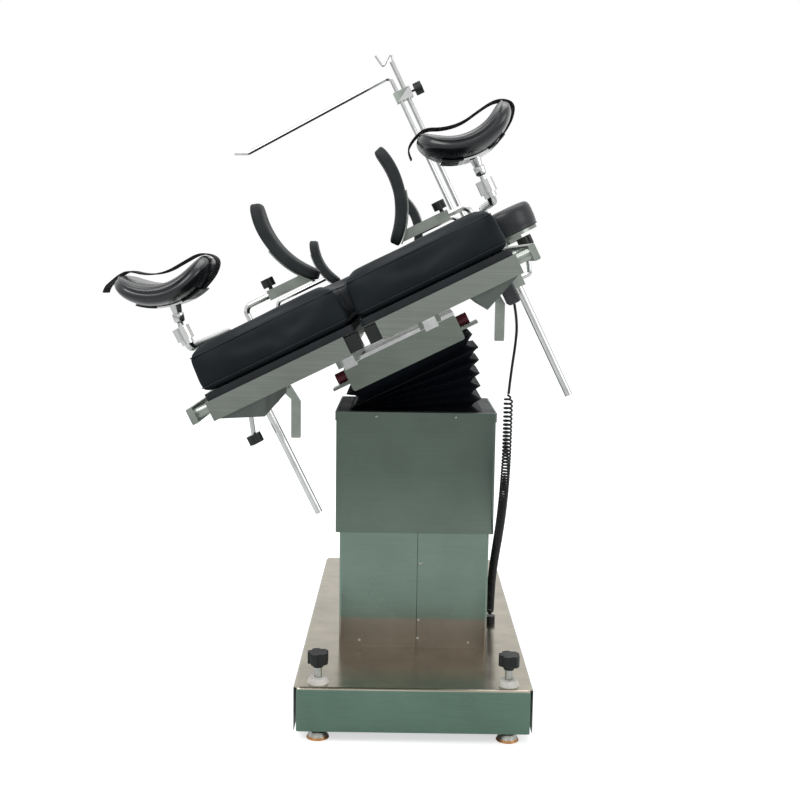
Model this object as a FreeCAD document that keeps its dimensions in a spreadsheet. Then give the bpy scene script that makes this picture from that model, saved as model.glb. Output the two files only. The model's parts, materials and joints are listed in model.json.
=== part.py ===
import FreeCAD, Part
import math
import os
import Sketcher
from FreeCAD import Placement, Rotation, Vector

# An electric operating table, raised and tilted to its left, with leg plates, knee crutches, body and
# shoulder supports, an anaesthesia screen with an infusion hook, an arm board and a corded handset.
# Millimetres. X runs across the table, Y from the foot end to the head end, Z up from the floor.
# Table sub-parts are drawn level, with their origin where the tilt axis meets the column's axis,
# and their placement then lifts and tilts them.
SIZES = {
    # stance of the table
    "column_x": 114.2,
    "column_y": -48.5,
    "pivot_height": 706,
    "lateral_tilt": 26.4,
    "lift_stroke": 250,
    # fits between neighbours
    "seat_gap": 0.3,
    "slide_gap": 0.3,
    "bore_gap": 0.05,
    # base
    "base_width": 500,
    "base_length": 1000,
    "base_foot_end": -375,
    "base_underside": 25,
    "base_height": 95,
    "base_corner": 14,
    "base_edge": 6,
    "sheet_wall": 2,
    "frame_tube": 60,
    "frame_tube_wall": 4,
    "cross_tube": 50,
    "column_mouth_width": 290,
    "column_mouth_depth": 210,
    # jack screws that lift the base off its castors
    "jack_x": 200,
    "jack_head_x": 165,
    "jack_inset": 33,
    "jack_radius": 8,
    "jack_boss_radius": 18,
    "jack_foot_radius": 24,
    "jack_foot_height": 14,
    "jack_knob_radius": 22,
    "jack_knob_height": 24,
    "jack_knob_rise": 42,
    "washer_radius": 23,
    "washer_height": 12,
    "washer_hole_gap": 1.5,
    # column
    "lower_cover_width": 338,
    "lower_cover_depth": 256,
    "lower_cover_top": 400,
    "cover_corner": 6,
    "cover_seam": 1,
    "cover_seam_x": 8,
    "upper_cover_width": 356,
    "upper_cover_depth": 274,
    "upper_cover_bottom": 390,
    "upper_cover_top": 665,
    "rim_height": 20,
    "rim_proud": 2,
    "core_width": 150,
    "core_depth": 130,
    "core_wall": 8,
    "core_top": 392,
    "core_flange": 14,
    "ram_wall": 10,
    "ram_overlap": 110,
    "head_plate_thick": 8,
    "head_plate_drop": 1,
    "cover_flange_gap": 0.3,
    # cardan joint under the table top
    "tilt_shaft_radius": 15,
    "pitch_shaft_radius": 12,
    "pitch_height": 46,
    "tilt_ear_y": 78,
    "tilt_ear_thick": 12,
    "tilt_ear_width": 70,
    "tilt_ear_cap": 30,
    "cross_half_width": 36,
    "cross_half_length": 62,
    "cross_drop": 22,
    "cross_rise": 20,
    "pitch_boss_radius": 16.5,
    "pitch_boss_half": 42,
    "pitch_ear_u": 56,
    "pitch_ear_thick": 12,
    "pitch_ear_width": 40,
    # bellows
    "bellows_half_width": 150,
    "bellows_half_depth": 112,
    "bellows_top_left": 145,
    "bellows_top_right": 170,
    "bellows_mid_height": 32,
    "bellows_pleat": 14,
    "bellows_wall": 2,
    # tilting head and slide
    "head_left": 123,
    "head_right": 151,
    "head_half_length": 130,
    "head_bottom": 64,
    "head_top": 122,
    "head_edge": 6,
    "head_wall": 4,
    "buffer_radius": 13,
    "buffer_length": 24,
    "buffer_height": 103,
    "buffer_y": -108,
    "buffer_bracket_width": 44,
    "buffer_bracket_thick": 6,
    "buffer_bracket_length": 40,
    "slide_plate_thick": 8,
    "slide_rail_u": 95,
    "slide_rail_width": 30,
    "slide_rail_height": 16,
    "slide_rail_half_length": 230,
    "runner_wall": 9,
    "runner_foot_end": -260,
    "runner_head_end": 20,
    "runner_grip": 15,
    # table top
    "frame_bottom": 186,
    "frame_height": 30,
    "frame_half_width": 251,
    "frame_member": 25,
    "board_thick": 11,
    "board_inset": 3,
    "cushion_thick": 66,
    "cushion_half_width": 252,
    "cushion_edge": 12,
    "foot_end": -950,
    "seat_foot_end": -437,
    "seat_head_end": 37,
    "seat_frame_foot_end": -425,
    "seat_frame_head_end": 20,
    "back_foot_end": 53,
    "back_head_end": 773,
    "back_frame_foot_end": 70,
    "back_frame_head_end": 755,
    "headrest_foot_end": 797,
    "headrest_head_end": 1047,
    "headrest_frame_foot_end": 815,
    "headrest_frame_head_end": 1030,
    "back_hinge_y": 45,
    "back_hinge_height": 285,
    "headrest_hinge_y": 785,
    "headrest_hinge_height": 260,
    "hinge_plate_thick": 6,
    "hinge_plate_gap": 1.5,
    "hinge_plate_reach": 95,
    "hinge_plate_nose": 14,
    "hinge_pin_radius": 6,
    # accessory rails
    "rail_centre": 277,
    "rail_thick": 10,
    "rail_height": 25,
    "rail_bottom": 194,
    "rail_spacer_radius": 8,
    "rail_end_inset": 12,
    # leg plates
    "leg_gap": 3,
    "leg_frame_inner": 26,
    "leg_frame_head_end": -462,
    "leg_cushion_head_end": -447,
    "leg_rail_head_end": -475,
    "fold_axis_y": -440,
    "fold_axis_height": 174,
    "fold_pin_radius": 6,
    "fold_ear_radius": 13,
    "fold_knuckle_radius": 10,
    "fold_fork_gap": 0.5,
    "fold_fork_thick": 19,
    "bracket_top": 184,
    "bracket_thick": 20,
    "bracket_foot_end": -520,
    "bracket_head_end": -456,
    "splay_u": 262,
    "splay_y": -485,
    "splay_pin_radius": 6,
    "splay_lug_radius": 14,
    "splay_lug_thick": 6,
    "gusset_outer": 247,
    "gusset_low_u": 181,
    "gusset_inner": 166,
    "gusset_drop": 26,
    "gusset_length": 300,
    # hanging release levers
    "lever_u": 236,
    "lever_y": -272,
    "lever_pivot_height": 150,
    "lever_thick": 6,
    "lever_width": 20,
    "lever_elbow_u": 12,
    "lever_elbow_drop": 62,
    "lever_length": 78,
    "lever_pin_radius": 4,
    "lever_hanger_thick": 8,
    "lever_hanger_width": 16,
    # rail clamps
    "clamp_length": 34,
    "clamp_outer": 309,
    "clamp_inner": 267,
    "clamp_top": 232,
    "clamp_bottom": 166,
    "clamp_lip": 7,
    "post_u": 295,
    # knee crutches
    "crutch_clamp_bottom": 124,
    "crutch_clamp_length": 64,
    "crutch_y": -240,
    "crutch_post_y": -615,
    "crutch_swing": 9,
    "crutch_rod_radius": 8,
    "crutch_rod_bottom": -129,
    "crutch_crank_height": 303,
    "crutch_bend": 14,
    "crutch_socket_top": 318,
    "crutch_post_radius": 11,
    "crutch_collar_radius": 15.5,
    "crutch_collar_top": 342,
    "crutch_ball_height": 332,
    "crutch_ball_radius": 9,
    "crutch_neck_radius": 5,
    "crutch_pad_bottom": 384,
    "crutch_pad_thick": 42,
    "crutch_pad_radius": 112,
    "crutch_pad_length": 190,
    "crutch_pad_sweep": 118,
    "crutch_pad_edge": 12,
    "crutch_plate_thick": 3,
    "crutch_plate_sweep": 60,
    "crutch_plate_length": 90,
    "left_cradle_roll": 12,
    "right_cradle_roll": 3,
    "strap_thick": 3,
    "strap_width": 38,
    "strap_tail": 22,
    "strap_sag": 8,
    "crutch_stud_radius": 5,
    "crutch_stud_y": -262,
    "crutch_stud_low": 103,
    "crutch_lever_u": 38,
    "crutch_lever_drop": 58,
    "small_knob_radius": 16,
    "small_knob_height": 20,
    # body supports at the hips
    "support_y": 105,
    "support_post_radius": 7,
    "support_post_bottom": 140,
    "support_arm_height": 342,
    "support_bend": 18,
    "support_arm_end": 110,
    "support_left_knob_u": 216,
    "support_right_knob_u": 234,
    "support_right_drop": 12,
    "support_stud_radius": 5,
    "support_knob_rise": 14,
    "support_pad_radius": 188,
    "support_pad_thick": 29,
    "support_pad_width": 110,
    "support_pad_centre_u": -35,
    "support_pad_centre_height": 487,
    "support_pad_top_angle": 18,
    "support_pad_sweep": 67,
    "support_pad_edge": 10,
    "support_carrier_gap": 0.3,
    "support_carrier_wall": 5,
    "support_carrier_outer": 205,
    # shoulder supports
    "shoulder_y": 715,
    "shoulder_rod_radius": 6,
    "shoulder_arm_height": 330,
    "shoulder_left_u": 106,
    "shoulder_right_u": 166,
    "shoulder_pad_thick": 25,
    "shoulder_pad_width": 80,
    "shoulder_pad_radius": 125,
    "shoulder_pad_sweep": 62,
    "shoulder_pad_lean": 5.7,
    "shoulder_pad_height": 374,
    # anaesthesia screen and infusion hook
    "screen_y": 316,
    "screen_u": 290,
    "screen_post_radius": 6,
    "screen_post_bottom": 120,
    "screen_post_top": 742,
    "hook_radius": 3,
    "hook_width": 34,
    "hook_height": 26,
    "screen_rod_radius": 5,
    "screen_rod_spacing": 21,
    "screen_rod_forward": 14,
    "screen_rod_bottom": 330,
    "screen_bar_height": 708,
    "screen_bar_fall": 14,
    "screen_bar_end": -139,
    "screen_tip_run": 31,
    "screen_tip_rise": 15,
    "screen_bend": 25,
    "screen_clamp_height": 654,
    "screen_clamp_size": 26,
    "screen_knob_reach": 12,
    # arm board on the right rail
    "arm_pivot_u": 385,
    "arm_pivot_y": 322,
    "arm_half_width": 70,
    "arm_length": 450,
    "arm_plate_bottom": 208,
    "arm_plate_thick": 8,
    "arm_pad_thick": 66,
    "arm_pin_radius": 8,
    "arm_bracket_y": 392,
    "arm_bracket_thick": 12,
    "arm_bracket_width": 34,
    # handset
    "handset_u": 266,
    "handset_y": -325,
    "handset_height": 146,
    "handset_width": 52,
    "handset_thick": 26,
    "handset_length": 84,
    "handset_edge": 5,
    "handset_hook_thick": 3,
    "handset_hook_width": 20,
    "cord_radius": 3,
    "coil_radius": 10.5,
    "gland_radius": 13,
    "gland_height": 16,
    "gland_x": 191,
    "gland_y": 60,
}

doc = FreeCAD.newDocument("OperatingTable")
sheet = doc.addObject("Spreadsheet::Sheet", "Sizes")
for row, (alias, amount) in enumerate(SIZES.items(), start=1):
    sheet.set(f"A{row}", alias)
    sheet.set(f"B{row}", str(amount))
    sheet.setAlias(f"B{row}", alias)
doc.recompute()


class Size:
    """A length or an angle that carries its value and the formula that ties it to the sheet."""

    def __init__(self, value, formula):
        self.value = value
        self.formula = formula

    def __add__(self, other):
        return Size(self.value + value_of(other), f"({self.formula} + {formula_of(other)})")

    def __sub__(self, other):
        return Size(self.value - value_of(other), f"({self.formula} - {formula_of(other)})")

    def __mul__(self, other):
        return Size(self.value * value_of(other), f"({self.formula} * {formula_of(other)})")

    def __truediv__(self, other):
        return Size(self.value / value_of(other), f"({self.formula} / {formula_of(other)})")

    def __radd__(self, other):
        return Size(value_of(other) + self.value, f"({formula_of(other)} + {self.formula})")

    def __rsub__(self, other):
        return Size(value_of(other) - self.value, f"({formula_of(other)} - {self.formula})")

    def __rmul__(self, other):
        return Size(value_of(other) * self.value, f"({formula_of(other)} * {self.formula})")

    def __neg__(self):
        return Size(-self.value, f"(0 - {self.formula})")


def value_of(size):
    return size.value if isinstance(size, Size) else float(size)


def formula_of(size):
    return size.formula if isinstance(size, Size) else f"({float(size)})"


def sine(angle):
    return Size(math.sin(math.radians(value_of(angle))), f"sin({formula_of(angle)} * 1 deg)")


def cosine(angle):
    return Size(math.cos(math.radians(value_of(angle))), f"cos({formula_of(angle)} * 1 deg)")


class Sheet:
    """Every named size of the sheet, as an attribute."""

    def __getattr__(self, alias):
        return Size(float(sheet.get(alias)), f"Sizes.{alias}")


S = Sheet()
NODES = {}
AXIS_TURN = {
    "x": Rotation(Vector(0, 1, 0), 90),
    "y": Rotation(Vector(1, 0, 0), -90),
    "z": Rotation(),
}
ON_COLUMN = Placement(Vector(S.column_x.value, S.column_y.value, 0), Rotation())
ON_TABLE = Placement(
    Vector(S.column_x.value, S.column_y.value, S.pivot_height.value),
    Rotation(Vector(0, 1, 0), -S.lateral_tilt.value),
)


def bind(item, prop, size):
    item.setExpression(prop, formula_of(size))


def place(item, corner):
    for axis, size in zip("xyz", corner):
        bind(item, f"Placement.Base.{axis}", size)
    return item


def block(centre, size):
    """A box about its centre."""
    item = doc.addObject("Part::Box", "Block")
    for prop, length in zip(("Length", "Width", "Height"), size):
        bind(item, prop, length)
    return place(item, [c - s / 2 for c, s in zip(centre, size)])


def between(low, high):
    """A box from its low corner to its high corner."""
    item = doc.addObject("Part::Box", "Block")
    for prop, start, end in zip(("Length", "Width", "Height"), low, high):
        bind(item, prop, end - start)
    return place(item, low)


def turned(item, axis, centre, length):
    """Set a round primitive along an axis, about its centre."""
    item.Placement.Rotation = AXIS_TURN[axis]
    corner = list(centre)
    corner["xyz".index(axis)] = centre["xyz".index(axis)] - length / 2
    return place(item, corner)


def rod(axis, centre, radius, length):
    item = doc.addObject("Part::Cylinder", "Rod")
    bind(item, "Radius", radius)
    bind(item, "Height", length)
    return turned(item, axis, centre, length)


def taper(axis, centre, radius_low, radius_high, length):
    item = doc.addObject("Part::Cone", "Taper")
    bind(item, "Radius1", radius_low)
    bind(item, "Radius2", radius_high)
    bind(item, "Height", length)
    return turned(item, axis, centre, length)


def ball(centre, radius):
    item = doc.addObject("Part::Sphere", "Ball")
    bind(item, "Radius", radius)
    return place(item, centre)


def fuse(*items):
    item = doc.addObject("Part::MultiFuse", "Joined")
    item.Shapes = list(items)
    item.Refine = True
    return item


def cut(base, *tools):
    item = doc.addObject("Part::Cut", "Trimmed")
    item.Base = base
    item.Tool = tools[0] if len(tools) == 1 else fuse(*tools)
    item.Refine = True
    return item


def rounded(base, radius, wanted):
    """Round the edges of a finished solid that the test accepts."""
    doc.recompute()
    item = doc.addObject("Part::Fillet", "Rounded")
    item.Base = base
    item.Edges = [
        (number, radius.value, radius.value)
        for number, edge in enumerate(base.Shape.Edges, start=1)
        if wanted(edge)
    ]
    return item


def runs_along(axis):
    """A test for straight edges along an axis."""
    direction = {"x": Vector(1, 0, 0), "y": Vector(0, 1, 0), "z": Vector(0, 0, 1)}[axis]

    def wanted(edge):
        return isinstance(edge.Curve, Part.Line) and abs(edge.Curve.Direction.dot(direction)) > 0.999

    return wanted


def any_edge(edge):
    return edge.Length > 0


PLANES = {"z": "XY_Plane", "y": "XZ_Plane", "x": "YZ_Plane"}


def attached_sketch(body, axis, offset):
    """A sketch on the body's origin plane across an axis, moved along that axis by an offset."""
    sketch = body.newObject("Sketcher::SketchObject", "Outline")
    plane = [item for item in body.Origin.OriginFeatures if item.Role == PLANES[axis]][0]
    sketch.AttachmentSupport = [(plane, "")]
    sketch.MapMode = "FlatFace"
    bind(sketch, "AttachmentOffset.Base.z", -offset if axis == "y" else offset)
    return sketch


def draw_polygon(sketch, points):
    """A closed outline whose corners are each held by formulas."""
    count = len(points)
    spots = [Vector(value_of(a), value_of(b), 0) for a, b in points]
    for number in range(count):
        sketch.addGeometry(Part.LineSegment(spots[number], spots[(number + 1) % count]))
    for number in range(count):
        sketch.addConstraint(Sketcher.Constraint("Coincident", number, 2, (number + 1) % count, 1))
    for number, (across, up) in enumerate(points):
        for kind, size in (("DistanceX", across), ("DistanceY", up)):
            index = sketch.addConstraint(Sketcher.Constraint(kind, -1, 1, number, 1, value_of(size)))
            bind(sketch, f"Constraints[{index}]", size)


def draw_circle(sketch, centre, radius):
    spot = Vector(value_of(centre[0]), value_of(centre[1]), 0)
    circle = sketch.addGeometry(Part.Circle(spot, Vector(0, 0, 1), value_of(radius)))
    index = sketch.addConstraint(Sketcher.Constraint("Radius", circle, value_of(radius)))
    bind(sketch, f"Constraints[{index}]", radius)
    for kind, size in (("DistanceX", centre[0]), ("DistanceY", centre[1])):
        index = sketch.addConstraint(Sketcher.Constraint(kind, -1, 1, circle, 3, value_of(size)))
        bind(sketch, f"Constraints[{index}]", size)


def slab(points, axis, low, high, round_radius=None, round_axis=None):
    """A padded polygon between two places along an axis, with the edges along another rounded."""
    body = doc.addObject("PartDesign::Body", "Slab")
    sketch = attached_sketch(body, axis, (low + high) / 2)
    draw_polygon(sketch, points)
    pad = body.newObject("PartDesign::Pad", "Pad")
    pad.Profile = sketch
    pad.Midplane = True
    bind(pad, "Length", high - low)
    if round_radius is not None:
        dress(body, pad, "PartDesign::Fillet", round_radius, round_axis)
    return body


def dress(body, feature, kind, radius, axis):
    """Round edges of a body's last feature, all of them or those along one axis."""
    doc.recompute()
    wanted = any_edge if axis == "all" else runs_along(axis)
    names = [
        f"Edge{number}"
        for number, edge in enumerate(feature.Shape.Edges, start=1)
        if wanted(edge)
    ]
    finish = body.newObject(kind, "Edges")
    finish.Base = (feature, names)
    bind(finish, "Radius", radius)
    return finish


def pierce(body, axis, draw):
    """A pocket through the whole body along an axis, with the outline that draw makes."""
    sketch = attached_sketch(body, axis, 0)
    draw(sketch)
    pocket = body.newObject("PartDesign::Pocket", "Opening")
    pocket.Profile = sketch
    pocket.Type = 1
    pocket.Midplane = True
    return body


def rectangle(low_a, high_a, low_b, high_b):
    return [(low_a, low_b), (high_a, low_b), (high_a, high_b), (low_a, high_b)]


def band(axis_centre, inner, thick, width_low, width_high, start, sweep, edge):
    """A curved pad: a rectangle turned about a line along Y, from a start angle through a sweep.

    Angles are measured in the X-Z plane from +X towards +Z.
    """
    body = doc.addObject("PartDesign::Body", "Curved")
    sketch = attached_sketch(body, "z", 0)
    draw_polygon(sketch, rectangle(inner, inner + thick, width_low, width_high))
    turn = body.newObject("PartDesign::Revolution", "Sweep")
    turn.Profile = sketch
    turn.ReferenceAxis = (sketch, ["V_Axis"])
    bind(turn, "Angle", sweep)
    turn.Reversed = True
    if edge is not None:
        dress(body, turn, "PartDesign::Fillet", edge, "all")
    body.Placement = Placement(
        Vector(value_of(axis_centre[0]), 0, value_of(axis_centre[1])),
        Rotation(Vector(0, 1, 0), -value_of(start)),
    )
    return body


def sweep_rod(points, radius, bend):
    """A round bar along straight runs joined by tangent arcs of one bend radius."""
    spots = [Vector(*[value_of(part) for part in point]) for point in points]
    edges = []
    start = spots[0]
    for before, corner, after in zip(spots, spots[1:], spots[2:]):
        back = (before - corner).normalize()
        ahead = (after - corner).normalize()
        half = back.getAngle(ahead) / 2
        reach = value_of(bend) / math.tan(half)
        middle = corner + (back + ahead).normalize() * (value_of(bend) / math.sin(half) - value_of(bend))
        edges.append(Part.LineSegment(start, corner + back * reach).toShape())
        edges.append(Part.Arc(corner + back * reach, middle, corner + ahead * reach).toShape())
        start = corner + ahead * reach
    edges.append(Part.LineSegment(start, spots[-1]).toShape())
    spine = doc.addObject("Part::Feature", "Path")
    spine.Shape = Part.Wire(edges)
    circle = doc.addObject("Part::Circle", "Section")
    bind(circle, "Radius", radius)
    heading = (spots[1] - spots[0]).normalize()
    circle.Placement = Placement(spots[0], Rotation(Vector(0, 0, 1), heading))
    item = doc.addObject("Part::Sweep", "Bar")
    item.Sections = [circle]
    item.Spine = (spine, [f"Edge{number}" for number in range(1, len(edges) + 1)])
    item.Solid = True
    return item


def star_knob(axis, centre, radius, height):
    """A hand knob with five rounded lobes."""
    lobes = 5
    blank = rod(axis, centre, radius, height)
    across, up = [letter for letter in "xyz" if letter != axis]
    scallops = []
    for number in range(lobes):
        angle = number * 360 / lobes
        spot = dict(zip("xyz", centre))
        spot[across] = spot[across] + radius * 1.18 * cosine(angle)
        spot[up] = spot[up] + radius * 1.18 * sine(angle)
        scallops.append(rod(axis, [spot[letter] for letter in "xyz"], radius * 0.36, height * 1.2))
    return cut(blank, *scallops)


def node(label, where, *items):
    """Finish a sub-part: name it, and lift it from its drawing position to its place."""
    if len(items) == 1 and items[0].TypeId not in ("Part::Box", "Part::Cylinder", "Part::Sphere"):
        item = items[0]
        item.Placement = where.multiply(item.Placement)
    else:
        item = doc.addObject("Part::Compound", "Group")
        item.Links = list(items)
        item.Placement = where
    item.Label = label
    NODES[label] = item


def mirrored(side, low, high):
    """The low and high ends across the table of a span given for the right side."""
    return (low, high) if side > 0 else (-high, -low)


# Base
BASE_TOP = S.base_underside + S.base_height
BASE_HEAD_END = S.base_foot_end + S.base_length
FRAME_TOP = BASE_TOP - S.sheet_wall - S.seat_gap
JACKS = [
    (side * across, end)
    for across, end in (
        (S.jack_x, S.base_foot_end + S.jack_inset),
        (S.jack_head_x, BASE_HEAD_END - S.jack_inset),
    )
    for side in (-1, 1)
]


def build_base_cover():
    half = S.base_width / 2
    body = slab(
        rectangle(-half, half, S.base_foot_end, BASE_HEAD_END),
        "z", S.base_underside, BASE_TOP, S.base_corner, "z",
    )
    doc.recompute()
    corners = body.Tip
    top = [
        f"Edge{number}"
        for number, edge in enumerate(corners.Shape.Edges, start=1)
        if abs(edge.BoundBox.ZMin - BASE_TOP.value) < 0.01
    ]
    rim = body.newObject("PartDesign::Fillet", "RolledEdge")
    rim.Base = (corners, top)
    bind(rim, "Radius", S.base_edge)
    sketch = attached_sketch(body, "z", S.base_underside)
    wall = S.sheet_wall
    draw_polygon(
        sketch,
        rectangle(wall - half, half - wall, S.base_foot_end + wall, BASE_HEAD_END - wall),
    )
    hollow = body.newObject("PartDesign::Pocket", "Hollow")
    hollow.Profile = sketch
    hollow.Reversed = True
    bind(hollow, "Length", S.base_height - wall)

    def openings(outline):
        mouth = (S.column_mouth_width / 2, S.column_mouth_depth / 2)
        draw_polygon(outline, rectangle(-mouth[0], mouth[0], -mouth[1], mouth[1]))

    pierce(body, "z", openings)
    for spot in JACKS:
        pierce(body, "z", lambda outline, spot=spot: draw_circle(
            outline, spot, S.jack_radius + S.washer_hole_gap))
    node("base_cover", ON_COLUMN, body)


def build_base_frame():
    low = FRAME_TOP - S.frame_tube
    inset = S.sheet_wall + S.seat_gap
    parts = []
    hollows = []
    foot = S.base_foot_end + inset
    head = BASE_HEAD_END - inset
    for side in (-1, 1):
        centre = (side * S.jack_x, (foot + head) / 2, (low + FRAME_TOP) / 2)
        parts.append(block(centre, (S.frame_tube, head - foot, S.frame_tube)))
        hole = S.frame_tube - 2 * S.frame_tube_wall
        hollows.append(block(centre, (hole, head - foot + 2, hole)))
    reach = 2 * S.jack_x - S.frame_tube
    half_core = S.core_depth / 2
    for middle in (
        foot + S.cross_tube / 2,
        -half_core - S.cross_tube / 2,
        half_core + S.cross_tube / 2,
        head - S.cross_tube / 2,
    ):
        parts.append(block((0, middle, (low + FRAME_TOP) / 2), (reach, S.cross_tube, S.frame_tube)))
    frame = cut(fuse(*parts), *hollows)
    bosses = [
        rod("z", (spot[0], spot[1], (low + FRAME_TOP) / 2), S.jack_boss_radius, S.frame_tube)
        for spot in JACKS
    ]
    bores = [
        rod("z", (spot[0], spot[1], (low + FRAME_TOP) / 2), S.jack_radius + S.bore_gap, S.frame_tube + 2)
        for spot in JACKS
    ]
    core_low = low
    core = between(
        (-S.core_width / 2, -half_core, core_low), (S.core_width / 2, half_core, S.core_top))
    flange_reach = S.core_flange + S.core_width / 2
    flange = between(
        (-flange_reach, -half_core - S.core_flange, FRAME_TOP - S.core_flange),
        (flange_reach, half_core + S.core_flange, FRAME_TOP),
    )
    mouth = between(
        (S.core_wall - S.core_width / 2, S.core_wall - half_core, core_low - 1),
        (S.core_width / 2 - S.core_wall, half_core - S.core_wall, S.core_top + 1),
    )
    node("base_frame", ON_COLUMN, cut(fuse(frame, core, flange, *bosses), mouth, *bores))


def build_jacks():
    names = ("foot_left", "foot_right", "head_left", "head_right")
    washers = []
    for name, spot in zip(names, JACKS):
        knob_low = BASE_TOP + S.jack_knob_rise
        stud_low = S.jack_foot_height / 2
        foot = taper(
            "z", (spot[0], spot[1], S.jack_foot_height / 2),
            S.jack_foot_radius, S.jack_foot_radius * 0.7, S.jack_foot_height,
        )
        stud = rod(
            "z", (spot[0], spot[1], (stud_low + knob_low + S.jack_knob_height / 2) / 2),
            S.jack_radius, knob_low + S.jack_knob_height / 2 - stud_low,
        )
        neck = rod(
            "z", (spot[0], spot[1], knob_low - S.jack_knob_height / 6),
            S.jack_knob_radius * 0.5, S.jack_knob_height / 3,
        )
        knob = star_knob(
            "z", (spot[0], spot[1], knob_low + S.jack_knob_height / 2),
            S.jack_knob_radius, S.jack_knob_height,
        )
        node(f"floor_lock_{name}", ON_COLUMN, fuse(foot, stud, neck, knob))
        ring = taper(
            "z", (spot[0], spot[1], BASE_TOP + S.washer_height / 2),
            S.washer_radius, S.washer_radius * 0.8, S.washer_height,
        )
        hole = rod(
            "z", (spot[0], spot[1], BASE_TOP + S.washer_height / 2),
            S.jack_radius + S.washer_hole_gap / 3, S.washer_height * 2,
        )
        washers.append(cut(ring, hole))
    node("floor_lock_washers", ON_COLUMN, *washers)


# Column
HEAD_PLATE_TOP = S.upper_cover_top - S.head_plate_drop


def build_column_lower_covers():
    half_width = S.lower_cover_width / 2
    half_depth = S.lower_cover_depth / 2
    halves = []
    for low, high in (
        (-half_width, S.cover_seam_x - S.cover_seam / 2),
        (S.cover_seam_x + S.cover_seam / 2, half_width),
    ):
        outer = slab(
            rectangle(-half_width, half_width, -half_depth, half_depth),
            "z", BASE_TOP, S.lower_cover_top, S.cover_corner, "z",
        )
        inner = between(
            (S.sheet_wall - half_width, S.sheet_wall - half_depth, BASE_TOP - 1),
            (half_width - S.sheet_wall, half_depth - S.sheet_wall, S.lower_cover_top + 1),
        )
        shell = cut(outer, inner)
        keep = between((low, -half_depth - 1, BASE_TOP), (high, half_depth + 1, S.lower_cover_top))
        part = doc.addObject("Part::MultiCommon", "Half")
        part.Shapes = [shell, keep]
        halves.append(part)
    gland = rod("z", (S.gland_x, S.gland_y, BASE_TOP + S.gland_height / 2), S.gland_radius, S.gland_height)
    node("column_lower_covers", ON_COLUMN, *halves, gland)


def build_column_upper_cover():
    half_width = S.upper_cover_width / 2
    half_depth = S.upper_cover_depth / 2
    proud = S.rim_proud
    shell = slab(
        rectangle(-half_width, half_width, -half_depth, half_depth),
        "z", S.upper_cover_bottom, S.upper_cover_top, S.cover_corner, "z",
    )
    rim = slab(
        rectangle(-half_width - proud, half_width + proud, -half_depth - proud, half_depth + proud),
        "z", S.upper_cover_top - S.rim_height, S.upper_cover_top, S.cover_corner, "z",
    )
    inner = between(
        (S.sheet_wall - half_width, S.sheet_wall - half_depth, S.upper_cover_bottom - 1),
        (half_width - S.sheet_wall, half_depth - S.sheet_wall, S.upper_cover_top + 1),
    )
    node("column_upper_cover", ON_COLUMN, cut(fuse(shell, rim), inner))


def tilt_ear(side, base_height, axis_height):
    """An upright ear with a round top, bored for the lateral tilt shaft."""
    middle = side * S.tilt_ear_y
    plate = between(
        (-S.tilt_ear_width / 2, middle - S.tilt_ear_thick / 2, base_height),
        (S.tilt_ear_width / 2, middle + S.tilt_ear_thick / 2, axis_height),
    )
    cap = rod("y", (0, middle, axis_height), S.tilt_ear_cap, S.tilt_ear_thick)
    return fuse(plate, cap)


def build_lift_ram():
    gap = S.slide_gap
    half_width = S.core_width / 2 - S.core_wall - gap
    half_depth = S.core_depth / 2 - S.core_wall - gap
    plate_low = HEAD_PLATE_TOP - S.head_plate_thick
    ram_low = S.core_top - S.ram_overlap
    ram = between((-half_width, -half_depth, ram_low), (half_width, half_depth, plate_low))
    bore = between(
        (S.ram_wall - half_width, S.ram_wall - half_depth, ram_low - 1),
        (half_width - S.ram_wall, half_depth - S.ram_wall, plate_low),
    )
    reach = S.sheet_wall + S.cover_flange_gap
    plate_width = S.upper_cover_width / 2 - reach
    plate_depth = S.upper_cover_depth / 2 - reach
    plate = between((-plate_width, -plate_depth, plate_low), (plate_width, plate_depth, HEAD_PLATE_TOP))
    ears = [tilt_ear(side, HEAD_PLATE_TOP, S.pivot_height) for side in (-1, 1)]
    shaft_bore = rod("y", (0, 0, S.pivot_height), S.tilt_shaft_radius + S.bore_gap, 4 * S.tilt_ear_y)
    node("lift_ram", ON_COLUMN, cut(fuse(cut(ram, bore), plate, *ears), shaft_bore))


def build_cardan_cross():
    shaft = rod("y", (0, 0, 0), S.tilt_shaft_radius, 2 * S.tilt_ear_y + 1.4 * S.tilt_ear_thick)
    hub = between(
        (-S.cross_half_width, -S.cross_half_length, -S.cross_drop),
        (S.cross_half_width, S.cross_half_length, S.cross_rise),
    )
    web = between(
        (-S.pitch_boss_half, -S.pitch_boss_radius, 0),
        (S.pitch_boss_half, S.pitch_boss_radius, S.pitch_height),
    )
    boss = rod("x", (0, 0, S.pitch_height), S.pitch_boss_radius, 2 * S.pitch_boss_half)
    trunnion = rod(
        "x", (0, 0, S.pitch_height), S.pitch_shaft_radius, 2 * S.pitch_ear_u + 1.4 * S.pitch_ear_thick)
    node("cardan_cross", ON_TABLE, fuse(shaft, rounded(hub, S.head_edge, any_edge), web, boss, trunnion))


def ring_points(left, right, half_depth, inset, height):
    """Four corners of a bellows ring drawn level."""
    return [
        Vector(-left + inset, -half_depth + inset, height),
        Vector(right - inset, -half_depth + inset, height),
        Vector(right - inset, half_depth - inset, height),
        Vector(-left + inset, half_depth - inset, height),
    ]


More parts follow.
